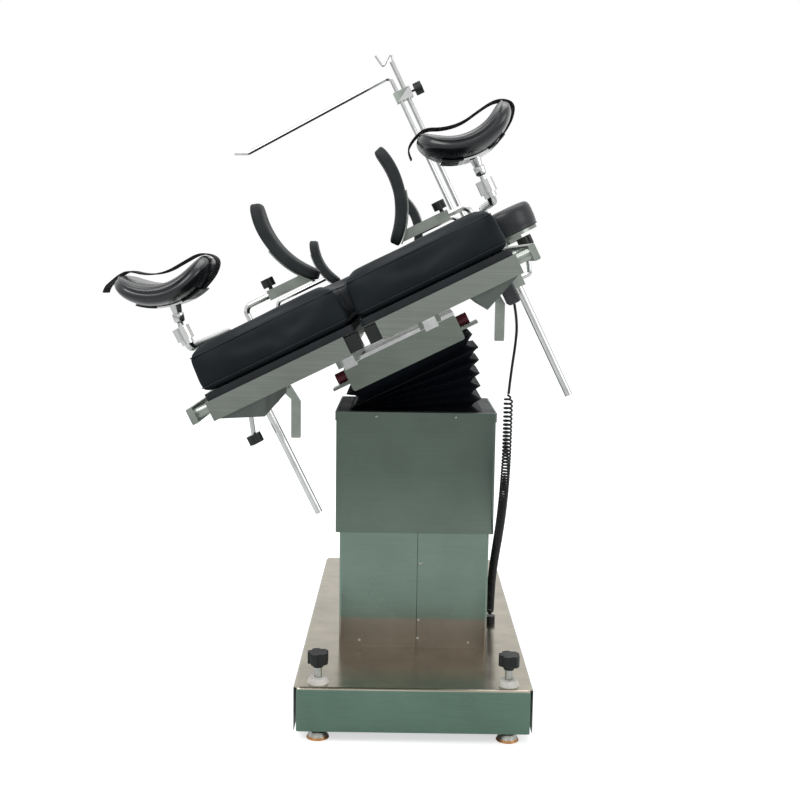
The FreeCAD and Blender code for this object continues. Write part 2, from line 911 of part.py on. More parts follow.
def pleated_tube(low_ring, high_ring, folds):
    """A loft through rings that step in and out between two end rings, minus its own inside."""
    skins = []
    for wall in (0, S.bellows_wall.value):
        sections = []
        for step in range(2 * folds + 1):
            share = step / (2 * folds)
            inset = wall + (S.bellows_pleat.value if step % 2 else 0)
            low = low_ring(inset)
            high = high_ring(inset)
            corners = [a * (1 - share) + b * share for a, b in zip(low, high)]
            sections.append(Part.makePolygon(corners + corners[:1]))
        skins.append(Part.makeLoft(sections, True, True))
    return skins[0].cut(skins[1])


def build_bellows():
    half_depth = S.bellows_half_depth.value
    width = S.bellows_half_width.value
    left = S.bellows_top_left.value
    right = S.bellows_top_right.value
    to_level = ON_TABLE.toMatrix()
    bottom = HEAD_PLATE_TOP.value + S.seat_gap.value

    def bottom_ring(inset):
        return [
            ON_COLUMN.multVec(point)
            for point in ring_points(width, width, half_depth, inset, bottom)
        ]

    def middle_ring(inset):
        points = ring_points(left, right, half_depth, inset, S.bellows_mid_height.value)
        return [to_level.multVec(point) for point in points]

    def top_ring(inset):
        return ring_points(left, right, half_depth, inset, S.head_bottom.value - S.seat_gap.value)

    def own_middle_ring(inset):
        return ring_points(left, right, half_depth, inset, S.bellows_mid_height.value)

    lower = doc.addObject("Part::Feature", "LowerBellows")
    lower.Shape = pleated_tube(bottom_ring, middle_ring, 4)
    lower.Label = "bellows_lower"
    NODES["bellows_lower"] = lower
    upper = doc.addObject("Part::Feature", "UpperBellows")
    upper.Shape = pleated_tube(own_middle_ring, top_ring, 1)
    node("bellows_upper", ON_TABLE, upper)


# Tilting head
SLIDE_TOP = S.head_top + S.slide_plate_thick + S.slide_rail_height


def build_head_box():
    shell = rounded(
        between(
            (-S.head_left, -S.head_half_length, S.head_bottom),
            (S.head_right, S.head_half_length, S.head_top),
        ),
        S.head_edge, runs_along("y"),
    )
    parts = [shell]
    for side in (-1, 1):
        low, high = mirrored(
            side, S.pitch_ear_u - S.pitch_ear_thick / 2, S.pitch_ear_u + S.pitch_ear_thick / 2)
        parts.append(between(
            (low, -S.pitch_ear_width / 2, S.pitch_height),
            (high, S.pitch_ear_width / 2, S.head_bottom + 1),
        ))
        parts.append(rod(
            "x", ((low + high) / 2, 0, S.pitch_height), S.pitch_ear_width / 2, S.pitch_ear_thick))
    bracket_top = S.buffer_height - S.buffer_radius - S.seat_gap
    for low, high in (
        (-S.head_left - S.buffer_bracket_length, -S.head_left + 1),
        (S.head_right - 1, S.head_right + S.buffer_bracket_length),
    ):
        parts.append(between(
            (low, S.buffer_y - S.buffer_bracket_width / 2, bracket_top - S.buffer_bracket_thick),
            (high, S.buffer_y + S.buffer_bracket_width / 2, bracket_top),
        ))
    bore = rod("x", (0, 0, S.pitch_height), S.pitch_shaft_radius + S.bore_gap, 3 * S.pitch_ear_u)
    plate_top = S.head_top + S.slide_plate_thick
    plate = between(
        (-S.head_left, -S.head_half_length, S.head_top),
        (S.head_right, S.head_half_length, plate_top),
    )
    rails = [
        between(
            (side * S.slide_rail_u - S.slide_rail_width / 2, -S.slide_rail_half_length, S.head_top),
            (side * S.slide_rail_u + S.slide_rail_width / 2, S.slide_rail_half_length, SLIDE_TOP),
        )
        for side in (-1, 1)
    ]
    node("head_box", ON_TABLE, cut(fuse(*parts), bore), fuse(plate, *rails))


def build_buffers():
    reach = S.buffer_length / 2 + S.seat_gap
    buffers = [
        rod("x", (middle, S.buffer_y, S.buffer_height), S.buffer_radius, S.buffer_length)
        for middle in (-S.head_left - reach, S.head_right + reach)
    ]
    node("end_buffers", ON_TABLE, *buffers)


# Table top
FRAME_CEILING = S.frame_bottom + S.frame_height
BOARD_TOP = FRAME_CEILING + S.board_thick
CUSHION_LOW = BOARD_TOP + S.seat_gap
CUSHION_TOP = CUSHION_LOW + S.cushion_thick
RAIL_MIDDLE = S.rail_bottom + S.rail_height / 2


def open_frame(low_u, high_u, foot, head, ribs=()):
    """A rectangular frame of flat section members, with cross ribs at given places along it."""
    body = slab(rectangle(low_u, high_u, foot, head), "z", S.frame_bottom, FRAME_CEILING)
    edges = [foot + S.frame_member]
    for rib in ribs:
        edges += [rib - S.frame_member / 2, rib + S.frame_member / 2]
    edges.append(head - S.frame_member)
    for start, end in zip(edges[::2], edges[1::2]):
        outline = rectangle(low_u + S.frame_member, high_u - S.frame_member, start, end)
        pierce(body, "z", lambda sketch, outline=outline: draw_polygon(sketch, outline))
    return body


def side_rail(side, foot, head, stations):
    """An accessory rail with its spacers to the frame."""
    low, high = mirrored(
        side, S.rail_centre - S.rail_thick / 2, S.rail_centre + S.rail_thick / 2)
    bar = rounded(
        between((low, foot, S.rail_bottom), (high, head, S.rail_bottom + S.rail_height)),
        S.rail_thick / 5, runs_along("y"),
    )
    reach = S.rail_centre - S.frame_half_width
    spacers = [
        rod("x", (side * (S.frame_half_width + reach / 2), spot, RAIL_MIDDLE), S.rail_spacer_radius, reach)
        for spot in stations
    ]
    return [bar, *spacers]




def span(first, second):
    """Two places in rising order."""
    return (first, second) if value_of(first) < value_of(second) else (second, first)


def hinge_plates(layer, edge, heading, axis_y, axis_height, bored):
    """Upright plates on both sides of the cushions, from a frame's end to its hinge axis.

    Layer 0 lies next to the cushions and layer 1 outside it. The heading is +1 where the axis lies
    towards the head end of the frame, and -1 where it lies towards the foot end.
    """
    parts = []
    bores = []
    step = S.hinge_plate_thick + S.hinge_plate_gap
    near = S.cushion_half_width + S.hinge_plate_gap + layer * step
    far = near + S.hinge_plate_thick
    tail = edge - heading * S.hinge_plate_reach
    low = S.frame_bottom + 2
    for side in (-1, 1):
        inner, outer = mirrored(side, near, far)
        plate = slab(
            [
                (tail, low),
                (edge, low),
                (axis_y + heading * S.hinge_plate_nose, axis_height),
                (axis_y - heading * S.hinge_plate_nose, axis_height),
                (tail, FRAME_CEILING),
            ],
            "x", inner, outer,
        )
        middle = (inner + outer) / 2
        nose = rod("x", (middle, axis_y, axis_height), S.hinge_plate_nose, S.hinge_plate_thick)
        start, end = span(tail, edge - heading * S.hinge_plate_nose)
        foot_low, foot_high = mirrored(side, S.frame_half_width - 1, near + 1)
        foot = between((foot_low, start, low), (foot_high, end, FRAME_CEILING - 2))
        parts += [plate, nose, foot]
        if bored:
            bores.append(rod(
                "x", (middle, axis_y, axis_height),
                S.hinge_pin_radius + S.bore_gap, S.hinge_plate_thick * 3,
            ))
        else:
            pin_low, pin_high = mirrored(side, near + 1, near + 2 * step + 1)
            parts.append(rod(
                "x", ((pin_low + pin_high) / 2, axis_y, axis_height),
                S.hinge_pin_radius, pin_high - pin_low,
            ))
    return parts, bores


def board(low_u, high_u, foot, head):
    """The board that is screwed to a frame and carries a cushion."""
    inset = S.board_inset
    return slab(
        rectangle(low_u + inset, high_u - inset, foot + inset, head - inset),
        "z", FRAME_CEILING, BOARD_TOP, S.board_thick, "z",
    )


def cushion(label, low_u, high_u, foot, head):
    body = slab(
        rectangle(low_u, high_u, foot, head), "z", CUSHION_LOW, CUSHION_TOP, S.cushion_edge, "all")
    node(label, ON_TABLE, body)


def build_seat():
    half = S.frame_half_width
    foot = S.seat_frame_foot_end
    head = S.seat_frame_head_end
    parts = [open_frame(-half, half, foot, head, [foot / 2])]
    runner_low = SLIDE_TOP + S.seat_gap
    cheek = S.slide_rail_width / 2 + S.slide_gap + S.runner_wall
    for side in (-1, 1):
        middle = side * S.slide_rail_u
        parts.append(between(
            (middle - cheek, S.runner_foot_end, runner_low),
            (middle + cheek, S.runner_head_end, S.frame_bottom + S.sheet_wall * 2),
        ))
        for flank in (-1, 1):
            low, high = span(middle + flank * (cheek - S.runner_wall), middle + flank * cheek)
            parts.append(between(
                (low, S.runner_foot_end, runner_low - S.runner_grip),
                (high, S.runner_head_end, runner_low + 1),
            ))
        parts += side_rail(
            side, foot + S.rail_end_inset, head - S.rail_end_inset,
            [foot + 30, foot + 140, foot + 305, head - 30],
        )
        ear_low, ear_high = mirrored(side, half - S.frame_member, half - S.fold_fork_gap * 12)
        ear_middle = (ear_low + ear_high) / 2
        parts.append(between(
            (ear_low, S.fold_axis_y, S.fold_axis_height - S.fold_ear_radius),
            (ear_high, foot + S.frame_member, S.frame_bottom + S.sheet_wall * 2),
        ))
        parts.append(rod(
            "x", (ear_middle, S.fold_axis_y, S.fold_axis_height), S.fold_ear_radius, ear_high - ear_low))
        pin_low, pin_high = mirrored(side, half - S.frame_member, half + S.bracket_thick)
        parts.append(rod(
            "x", ((pin_low + pin_high) / 2, S.fold_axis_y, S.fold_axis_height),
            S.fold_pin_radius, pin_high - pin_low,
        ))
        hanger_low = S.lever_pivot_height - S.lever_hanger_width / 2
        hanger = between(
            (side * S.lever_u - S.lever_hanger_width / 2, S.lever_y - S.lever_hanger_thick, hanger_low),
            (side * S.lever_u + S.lever_hanger_width / 2, S.lever_y, S.frame_bottom + S.sheet_wall * 2),
        )
        lever_pin = rod(
            "y", (side * S.lever_u, S.lever_y + S.lever_thick / 2, S.lever_pivot_height),
            S.lever_pin_radius, S.lever_thick + S.lever_hanger_thick,
        )
        parts += [hanger, lever_pin]
    plates, _ = hinge_plates(0, head, 1, S.back_hinge_y, S.back_hinge_height, False)
    full = S.cushion_half_width
    ply = board(-full, full, S.seat_foot_end, S.seat_head_end)
    node("seat_frame", ON_TABLE, fuse(*parts, *plates), ply)
    cushion("seat_cushion", -full, full, S.seat_foot_end, S.seat_head_end)


def build_levers():
    for side, name in ((-1, "left"), (1, "right")):
        half = S.lever_width / 2
        elbow = S.lever_elbow_u * 2
        drop = S.lever_elbow_drop / 2
        outline = [
            (-half, half * 0.8),
            (half * 0.8, half),
            (elbow + half, -drop),
            (elbow + half, -drop - S.lever_length),
            (elbow - half, -drop - S.lever_length),
            (elbow - half, half * 0.4 - drop),
            (-half, -half * 0.6),
        ]
        body = slab(outline, "y", S.seat_gap, S.lever_thick, S.lever_thick / 3, "y")
        bore = rod("y", (0, S.lever_thick / 2, 0), S.lever_pin_radius + S.bore_gap, S.lever_thick * 2)
        spot = Vector((side * S.lever_u).value, S.lever_y.value, S.lever_pivot_height.value)
        hung = Placement(spot, Rotation(Vector(0, 1, 0), S.lateral_tilt.value))
        node(f"leg_release_lever_{name}", ON_TABLE.multiply(hung), cut(body, bore))


def build_legs():
    for side, name in ((-1, "left"), (1, "right")):
        # bracket that folds down and carries the upright splay pin
        low, high = mirrored(
            side, S.frame_half_width - S.fold_fork_gap * 11, S.frame_half_width + S.bracket_thick)
        top = S.frame_bottom - S.seat_gap
        under = S.fold_axis_height - S.fold_knuckle_radius
        arm = between((low, S.bracket_foot_end, under), (high, S.bracket_head_end, top))
        neck = between(
            (low, S.bracket_head_end - 1, under),
            (high, S.fold_axis_y, S.fold_axis_height + S.fold_knuckle_radius),
        )
        knuckle = rod(
            "x", ((low + high) / 2, S.fold_axis_y, S.fold_axis_height), S.fold_knuckle_radius, high - low)
        bore = rod(
            "x", ((low + high) / 2, S.fold_axis_y, S.fold_axis_height),
            S.fold_pin_radius + S.bore_gap, S.frame_member * 2,
        )
        lug_top = S.frame_bottom + S.splay_lug_thick
        pin = rod(
            "z", (side * S.splay_u, S.splay_y, (under + lug_top + 1) / 2),
            S.splay_pin_radius, lug_top + 1 - under,
        )
        node(f"leg_bracket_{name}", ON_TABLE, cut(fuse(arm, neck, knuckle, pin), bore))
        # frame of the leg plate with its lug, accessory rail, latch block and corner gusset
        frame_low, frame_high = mirrored(side, S.leg_frame_inner, S.frame_half_width)
        middle = (S.foot_end + S.leg_frame_head_end) / 2
        parts = [open_frame(frame_low, frame_high, S.foot_end, S.leg_frame_head_end, [middle])]
        lug_low, lug_high = mirrored(side, S.frame_half_width - 1, S.splay_u)
        parts.append(between(
            (lug_low, S.splay_y - S.splay_lug_radius, S.frame_bottom),
            (lug_high, S.splay_y + S.splay_lug_radius, lug_top),
        ))
        parts.append(rod(
            "z", (side * S.splay_u, S.splay_y, S.frame_bottom + S.splay_lug_thick / 2),
            S.splay_lug_radius, S.splay_lug_thick,
        ))
        parts += side_rail(
            side, S.foot_end, S.leg_rail_head_end,
            [S.foot_end + 20, middle - 40, S.leg_rail_head_end - 60],
        )
        parts.append(slab(
            [
                (side * S.gusset_outer, S.frame_bottom + 2),
                (side * S.gusset_low_u, S.frame_bottom - S.gusset_drop),
                (side * S.gusset_inner, S.frame_bottom + 4),
            ],
            "y", S.foot_end + 2, S.foot_end + S.gusset_length,
        ))
        block_low, block_high = mirrored(side, S.leg_gap * 2, S.leg_frame_inner + 1)
        parts.append(between(
            (block_low, S.foot_end + 4, S.frame_bottom + 2),
            (block_high, S.foot_end + 50, FRAME_CEILING - 3),
        ))
        hole = rod(
            "z", (side * S.splay_u, S.splay_y, S.frame_bottom + S.splay_lug_thick / 2),
            S.splay_pin_radius + S.bore_gap, S.splay_lug_thick * 2,
        )
        steel = cut(fuse(*parts), hole)
        cushion_low, cushion_high = mirrored(side, S.leg_gap, S.cushion_half_width)
        ply = board(cushion_low, cushion_high, S.foot_end, S.leg_cushion_head_end)
        node(f"leg_frame_{name}", ON_TABLE, steel, ply)
        cushion(f"leg_cushion_{name}", cushion_low, cushion_high, S.foot_end, S.leg_cushion_head_end)


def build_back():
    half = S.frame_half_width
    foot = S.back_frame_foot_end
    head = S.back_frame_head_end
    parts = [open_frame(-half, half, foot, head, [foot + 230, foot + 460])]
    for side in (-1, 1):
        parts += side_rail(
            side, foot + S.rail_end_inset, head - S.rail_end_inset,
            [foot + 90, foot + 180, foot + 400, foot + 600],
        )
    lower, bores = hinge_plates(1, foot, -1, S.back_hinge_y, S.back_hinge_height, True)
    upper, _ = hinge_plates(0, head, 1, S.headrest_hinge_y, S.headrest_hinge_height, False)
    full = S.cushion_half_width
    ply = board(-full, full, S.back_foot_end, S.back_head_end)
    node("back_frame", ON_TABLE, cut(fuse(*parts, *lower, *upper), *bores), ply)
    cushion("back_cushion", -full, full, S.back_foot_end, S.back_head_end)


def build_headrest():
    half = S.frame_half_width
    foot = S.headrest_frame_foot_end
    head = S.headrest_frame_head_end
    frame = open_frame(-half, half, foot, head)
    plates, bores = hinge_plates(1, foot, -1, S.headrest_hinge_y, S.headrest_hinge_height, True)
    full = S.cushion_half_width
    ply = board(-full, full, S.headrest_foot_end, S.headrest_head_end)
    node("headrest_frame", ON_TABLE, cut(fuse(frame, *plates), *bores), ply)
    cushion("headrest_cushion", -full, full, S.headrest_foot_end, S.headrest_head_end)


# Rail accessories
def rail_clamp(side, spot, post_u, post_radius, bottom, with_screw):
    """A jaw block on the accessory rail, bored for an upright post, with its tightening screw."""
    slot_in = S.rail_centre - S.rail_thick / 2 - S.seat_gap
    slot_out = S.rail_centre + S.rail_thick / 2 + S.seat_gap
    slot_low = S.rail_bottom - S.seat_gap
    slot_high = S.rail_bottom + S.rail_height + S.seat_gap
    lip_low = S.rail_bottom + S.clamp_lip
    lip_high = S.rail_bottom + S.rail_height - S.clamp_lip
    profile = [
        (S.clamp_outer, bottom),
        (S.clamp_outer, S.clamp_top),
        (S.clamp_inner, S.clamp_top),
        (S.clamp_inner, lip_high),
        (slot_in, lip_high),
        (slot_in, slot_high),
        (slot_out, slot_high),
        (slot_out, slot_low),
        (slot_in, slot_low),
        (slot_in, lip_low),
        (S.clamp_inner, lip_low),
        (S.clamp_inner, bottom),
    ]
    body = slab(
        [(side * across, up) for across, up in profile],
        "y", spot - S.clamp_length / 2, spot + S.clamp_length / 2,
    )
    bore = rod(
        "z", (side * post_u, spot, (S.clamp_top + bottom) / 2),
        post_radius + S.bore_gap, S.clamp_top - bottom + 2,
    )
    if not with_screw:
        return [cut(body, bore)]
    start = spot - post_radius - S.bore_gap * 3
    end = spot - S.clamp_length / 2 - S.small_knob_height / 2
    height = slot_low - S.small_knob_radius
    hole = rod(
        "y", (side * post_u, spot - S.clamp_length / 2, height),
        S.support_stud_radius, S.clamp_length - 2,
    )
    stud = rod(
        "y", (side * post_u, (start + end) / 2, height), S.support_stud_radius, start - end)
    knob = star_knob("y", (side * post_u, end, height), S.small_knob_radius, S.small_knob_height)
    return [cut(body, bore, hole), fuse(stud, knob)]


def build_clamps():
    crutch = []
    for side in (-1, 1):
        crutch += rail_clamp(
            side, S.crutch_y, S.post_u, S.crutch_rod_radius, S.crutch_clamp_bottom, False,
        )
    node("crutch_clamps", ON_TABLE, *crutch)
    back = []
    for side in (-1, 1):
        for spot, radius in (
            (S.support_y, S.support_post_radius), (S.shoulder_y, S.shoulder_rod_radius),
        ):
            back += rail_clamp(side, spot, S.post_u, radius, S.clamp_bottom, True)
    back += rail_clamp(1, S.screen_y, S.screen_u, S.screen_post_radius, S.clamp_bottom, True)
    node("back_rail_clamps", ON_TABLE, *back)


def build_crutches():
    for side, name, roll in ((-1, "left", S.left_cradle_roll), (1, "right", S.right_cradle_roll)):
        stem = side * S.post_u
        across = stem - S.crutch_swing
        bar = sweep_rod(
            [
                (stem, S.crutch_y, S.crutch_rod_bottom),
                (stem, S.crutch_y, S.crutch_crank_height),
                (across, S.crutch_post_y, S.crutch_crank_height),
                (across, S.crutch_post_y, S.crutch_socket_top),
            ],
            S.crutch_rod_radius, S.crutch_bend,
        )
        socket_low = S.crutch_crank_height + S.crutch_bend / 2
        socket = rod(
            "z", (across, S.crutch_post_y, (socket_low + S.crutch_socket_top) / 2),
            S.crutch_post_radius, S.crutch_socket_top - socket_low,
        )
        collar = rod(
            "z", (across, S.crutch_post_y, (S.crutch_socket_top + S.crutch_collar_top) / 2),
            S.crutch_collar_radius, S.crutch_collar_top - S.crutch_socket_top,
        )
        cup = ball((across, S.crutch_post_y, S.crutch_ball_height), S.crutch_ball_radius + S.bore_gap)
        mouth = rod(
            "z", (across, S.crutch_post_y, S.crutch_ball_height + S.crutch_collar_radius / 2),
            S.crutch_ball_radius + S.bore_gap, S.crutch_collar_radius,
        )
        node(f"crutch_rod_{name}", ON_TABLE, cut(fuse(bar, socket, collar), cup, mouth))
        # cradle, pad and strap, drawn about the ball joint and rolled to their rest angle
        spot = Vector(across.value, S.crutch_post_y.value, S.crutch_ball_height.value)
        rolled = ON_TABLE.multiply(Placement(spot, Rotation(Vector(0, 1, 0), roll.value)))
        rise = S.crutch_pad_bottom - S.crutch_ball_height
        centre = (0, rise + S.crutch_pad_radius)
        knob = ball((0, 0, 0), S.crutch_ball_radius)
        neck = rod("z", (0, 0, rise / 2), S.crutch_neck_radius, rise - 2)
        plate = band(
            centre, S.crutch_pad_radius + S.seat_gap, S.crutch_plate_thick,
            -S.crutch_plate_length / 2, S.crutch_plate_length / 2,
            270 - S.crutch_plate_sweep / 2, S.crutch_plate_sweep, None,
        )
        pad = band(
            centre, S.crutch_pad_radius - S.crutch_pad_thick, S.crutch_pad_thick,
            -S.crutch_pad_length / 2, S.crutch_pad_length / 2,
            270 - S.crutch_pad_sweep / 2, S.crutch_pad_sweep, S.crutch_pad_edge,
        )
        node(f"crutch_pad_{name}", rolled, pad)
        lean = 90 - S.crutch_pad_sweep / 2
        lift = S.seat_gap + S.strap_thick

        def over_rim(radius, off):
            return (
                radius * cosine(lean) + off * sine(lean),
                centre[1] - radius * sine(lean) + off * cosine(lean),
            )

        inner = S.crutch_pad_radius - S.crutch_pad_thick
        crest = over_rim(inner, S.seat_gap)
        crest_top = over_rim(inner - S.strap_thick / 3, lift)
        outer_low = over_rim(S.crutch_pad_radius, S.seat_gap)
        outer_top = over_rim(S.crutch_pad_radius, lift)
        tail_low = over_rim(S.crutch_pad_radius + S.strap_tail, S.seat_gap)
        tail_top = over_rim(S.crutch_pad_radius + S.strap_tail, lift)
        middle_low = crest[1] - S.strap_sag
        web = slab(
            [
                outer_low,
                outer_top,
                crest_top,
                (0, middle_low + S.strap_thick),
                (-crest_top[0], crest_top[1]),
                (-tail_top[0], tail_top[1]),
                (-tail_low[0], tail_low[1]),
                (-crest[0], crest[1]),
                (0, middle_low),
                crest,
            ],
            "y", -S.strap_width / 2, S.strap_width / 2,
        )
        node(f"crutch_cradle_{name}", rolled, fuse(knob, neck, plate), web)
        # locking screw with a bent handle and a star knob
        height = S.crutch_clamp_bottom + S.crutch_stud_radius * 3
        fall = side * S.crutch_lever_drop
        start = side * (S.clamp_outer + S.seat_gap)
        elbow = side * (S.clamp_outer + S.crutch_lever_u / 2)
        tip = side * (S.clamp_outer + S.crutch_lever_u)
        handle = sweep_rod(
            [
                (start, S.crutch_y, height),
                (elbow, S.crutch_y, height),
                (tip, S.crutch_y, height + fall),
            ],
            S.crutch_stud_radius, S.crutch_stud_radius * 1.6,
        )
        grip = star_knob(
            "z", (tip, S.crutch_y, height + fall + side * S.small_knob_height / 3),
            S.small_knob_radius, S.small_knob_height,
        )
        node(f"crutch_lock_{name}", ON_TABLE, fuse(handle, grip))


def build_side_supports():
    for side, name, knob_u, drop in (
        (-1, "left", S.support_left_knob_u, 0),
        (1, "right", S.support_right_knob_u, S.support_right_drop),
    ):
        across = side * S.post_u
        height = S.support_arm_height - drop
        bar = sweep_rod(
            [
                (across, S.support_y, S.support_post_bottom),
                (across, S.support_y, height),
                (side * (S.support_arm_end + 30), S.support_y, height),
            ],
            S.support_post_radius, S.support_bend,
        )
        node(f"side_support_post_{name}", ON_TABLE, bar)
        # sliding carrier with the curved plate behind the pad
        hub = (side * S.support_pad_centre_u, S.support_pad_centre_height - drop)
        outer = S.support_pad_radius + S.support_pad_thick + S.seat_gap
        half = S.support_post_radius + S.support_carrier_wall
        low, high = mirrored(side, S.support_arm_end, knob_u + half)
        carrier = between(
            (low, S.support_y - half, height - half), (high, S.support_y + half, height + half))
        sweep = S.support_pad_sweep / 2
        middle = 178 - S.support_pad_top_angle + sweep
        start = middle if side < 0 else 540 - middle - sweep
        plate = band(
            hub, outer, S.crutch_plate_thick,
            S.support_y - S.support_pad_width / 3, S.support_y + S.support_pad_width / 3,
            start, sweep, None,
        )
        room = rod("y", (hub[0], S.support_y, hub[1]), outer, S.support_pad_width * 2)
        bore = rod(
            "x", (side * knob_u, S.support_y, height),
            S.support_post_radius + S.bore_gap, S.support_arm_end * 2,
        )
        hole = rod(
            "z", (side * knob_u, S.support_y, height + half),
            S.support_stud_radius + S.bore_gap, half * 2,
        )
        node(f"side_support_carrier_{name}", ON_TABLE, cut(fuse(carrier, plate), room, bore, hole))
        top_angle = 180 - S.support_pad_top_angle
        pad_start = top_angle if side < 0 else 540 - top_angle - S.support_pad_sweep
        pad = band(
            hub, S.support_pad_radius, S.support_pad_thick,
            S.support_y - S.support_pad_width / 2, S.support_y + S.support_pad_width / 2,
            pad_start, S.support_pad_sweep, S.support_pad_edge,
        )
        node(f"side_support_pad_{name}", ON_TABLE, pad)
        stud_low = height + S.support_post_radius + S.bore_gap * 2
        knob_low = height + half + S.support_knob_rise / 2
        stud = rod(
            "z", (side * knob_u, S.support_y, (stud_low + knob_low + 2) / 2),
            S.support_stud_radius, knob_low + 2 - stud_low,
        )
        knob = star_knob(
            "z", (side * knob_u, S.support_y, knob_low + S.small_knob_height / 2),
            S.small_knob_radius, S.small_knob_height,
        )
        node(f"side_support_knob_{name}", ON_TABLE, fuse(stud, knob))


def build_shoulder_supports():
    for side, name, middle_u in (
        (-1, "left", S.shoulder_left_u), (1, "right", S.shoulder_right_u),
    ):
        across = side * S.post_u
        half_sweep = S.shoulder_pad_sweep / 2
        lean = S.shoulder_pad_lean
        chord = (S.shoulder_pad_radius + S.shoulder_pad_thick / 2) * cosine(half_sweep)
        hub = (
            side * (middle_u - chord * cosine(lean)),
            S.shoulder_pad_height + chord * sine(lean),
        )
        outer = S.shoulder_pad_radius + S.shoulder_pad_thick + S.seat_gap
        bar = sweep_rod(
            [
                (across, S.shoulder_y, S.support_post_bottom),
                (across, S.shoulder_y, S.shoulder_arm_height),
                (side * middle_u, S.shoulder_y, S.shoulder_arm_height),
            ],
            S.shoulder_rod_radius, S.support_bend,
        )
        start = 180 + lean - half_sweep if side < 0 else 0 - lean - half_sweep
        plate = band(
            hub, outer, S.crutch_plate_thick,
            S.shoulder_y - S.shoulder_pad_width / 4, S.shoulder_y + S.shoulder_pad_width / 4,
            start + half_sweep / 2, half_sweep * 1.4, None,
        )
        room = rod("y", (hub[0], S.shoulder_y, hub[1]), outer, S.shoulder_pad_width * 2)
        pad = band(
            hub, S.shoulder_pad_radius, S.shoulder_pad_thick,
            S.shoulder_y - S.shoulder_pad_width / 2, S.shoulder_y + S.shoulder_pad_width / 2,
            start, S.shoulder_pad_sweep, S.support_pad_edge,
        )
        node(f"shoulder_support_{name}", ON_TABLE, cut(fuse(bar, plate), room))
        node(f"shoulder_pad_{name}", ON_TABLE, pad)


def build_screen():
    post = rod(
        "z", (S.screen_u, S.screen_y, (S.screen_post_bottom + S.screen_post_top) / 2),
        S.screen_post_radius, S.screen_post_top - S.screen_post_bottom,
    )
    top = S.screen_post_top
    hook = sweep_rod(
        [
            (S.screen_u, S.screen_y, top - 15),
            (S.screen_u + 9, S.screen_y, top + 23),
            (S.screen_u + 9 - S.hook_width, S.screen_y, top - 3),
            (S.screen_u + 3 - S.hook_width, S.screen_y, top - 3 + S.hook_height * 1.3),
        ],
        S.hook_radius, S.hook_radius * 1.5,
    )
    inner = S.screen_u - S.screen_rod_spacing
    half = S.screen_clamp_size / 2
    front = S.screen_y - S.screen_rod_forward
    grip = between(
        (inner - half * 0.8, front - half * 0.8, S.screen_clamp_height - half),
        (S.screen_u + half, S.screen_y + half, S.screen_clamp_height + half),
    )
    slide = rod(
        "z", (inner, front, S.screen_clamp_height), S.screen_rod_radius + S.bore_gap, half * 3)
    stud_hole = rod(
        "x", (S.screen_u + half + S.screen_post_radius, S.screen_y, S.screen_clamp_height),
        S.hook_radius + S.bore_gap, half * 2,
    )
    node("screen_post", ON_TABLE, cut(fuse(post, hook, grip), slide, stud_hole))
    bar = sweep_rod(
        [
            (inner, front, S.screen_rod_bottom),
            (inner, front, S.screen_bar_height),
            (S.screen_bar_end, front, S.screen_bar_height - S.screen_bar_fall),
            (
                S.screen_bar_end - S.screen_tip_run, front,
                S.screen_bar_height - S.screen_bar_fall + S.screen_tip_rise,
            ),
        ],
        S.screen_rod_radius, S.screen_bend / 2,
    )
    node("screen_bar", ON_TABLE, bar)
    start = S.screen_u + S.screen_post_radius + S.seat_gap
    end = S.screen_u + half + S.screen_knob_reach
    stud = rod("x", ((start + end) / 2, S.screen_y, S.screen_clamp_height), S.hook_radius, end - start)
    knob = star_knob(
        "x", (end + S.small_knob_height / 2 - 2, S.screen_y, S.screen_clamp_height),
        S.small_knob_radius, S.small_knob_height,
    )
    node("screen_knob", ON_TABLE, fuse(stud, knob))


def build_arm_board():
    pivot = (S.arm_pivot_u, S.arm_pivot_y)
    bracket_top = S.arm_plate_bottom - S.seat_gap
    bracket_low = bracket_top - S.arm_bracket_thick
    clamp = rail_clamp(1, S.arm_bracket_y, S.post_u, S.shoulder_rod_radius, S.clamp_bottom, True)
    half = S.arm_bracket_width / 2
    arm = slab(
        [
            (S.clamp_outer - half, S.arm_bracket_y - half),
            (S.clamp_outer - half, S.arm_bracket_y + half),
            (S.clamp_outer + half, S.arm_bracket_y + half),
            (pivot[0] + half, pivot[1] + half / 2),
            (pivot[0] + half, pivot[1] - half),
            (pivot[0] - half, pivot[1] - half),
        ],
        "z", bracket_low, bracket_top,
    )
    plug = rod(
        "z", (S.post_u, S.arm_bracket_y, (S.clamp_top + S.clamp_bottom) / 2),
        S.shoulder_rod_radius, S.clamp_top - S.clamp_bottom,
    )
    plate_top = S.arm_plate_bottom + S.arm_plate_thick
    pin = rod(
        "z", (pivot[0], pivot[1], (bracket_low + plate_top) / 2), S.arm_pin_radius, plate_top - bracket_low)
    node("arm_board_bracket", ON_TABLE, fuse(clamp[0], arm, pin), clamp[1], plug)
    low_y = pivot[1] - S.arm_half_width
    outline = rectangle(
        pivot[0] - S.arm_half_width, pivot[0] + S.arm_half_width, low_y, low_y + S.arm_length)
    inset = S.board_inset * 2
    plate = slab(
        rectangle(
            pivot[0] - S.arm_half_width + inset, pivot[0] + S.arm_half_width - inset,
            low_y + inset, low_y + S.arm_length - inset,
        ),
        "z", S.arm_plate_bottom, plate_top, S.arm_half_width - inset * 2, "z",
    )
    bore = rod(
        "z", (pivot[0], pivot[1], plate_top - S.arm_plate_thick / 2),
        S.arm_pin_radius + S.bore_gap, S.arm_plate_thick * 2,
    )
    node("arm_board", ON_TABLE, cut(plate, bore))
    pad_low = plate_top + S.seat_gap
    pad = slab(
        outline, "z", pad_low, pad_low + S.arm_pad_thick,
        S.arm_half_width - S.board_inset, "z",
    )
    node("arm_board_pad", ON_TABLE, pad)


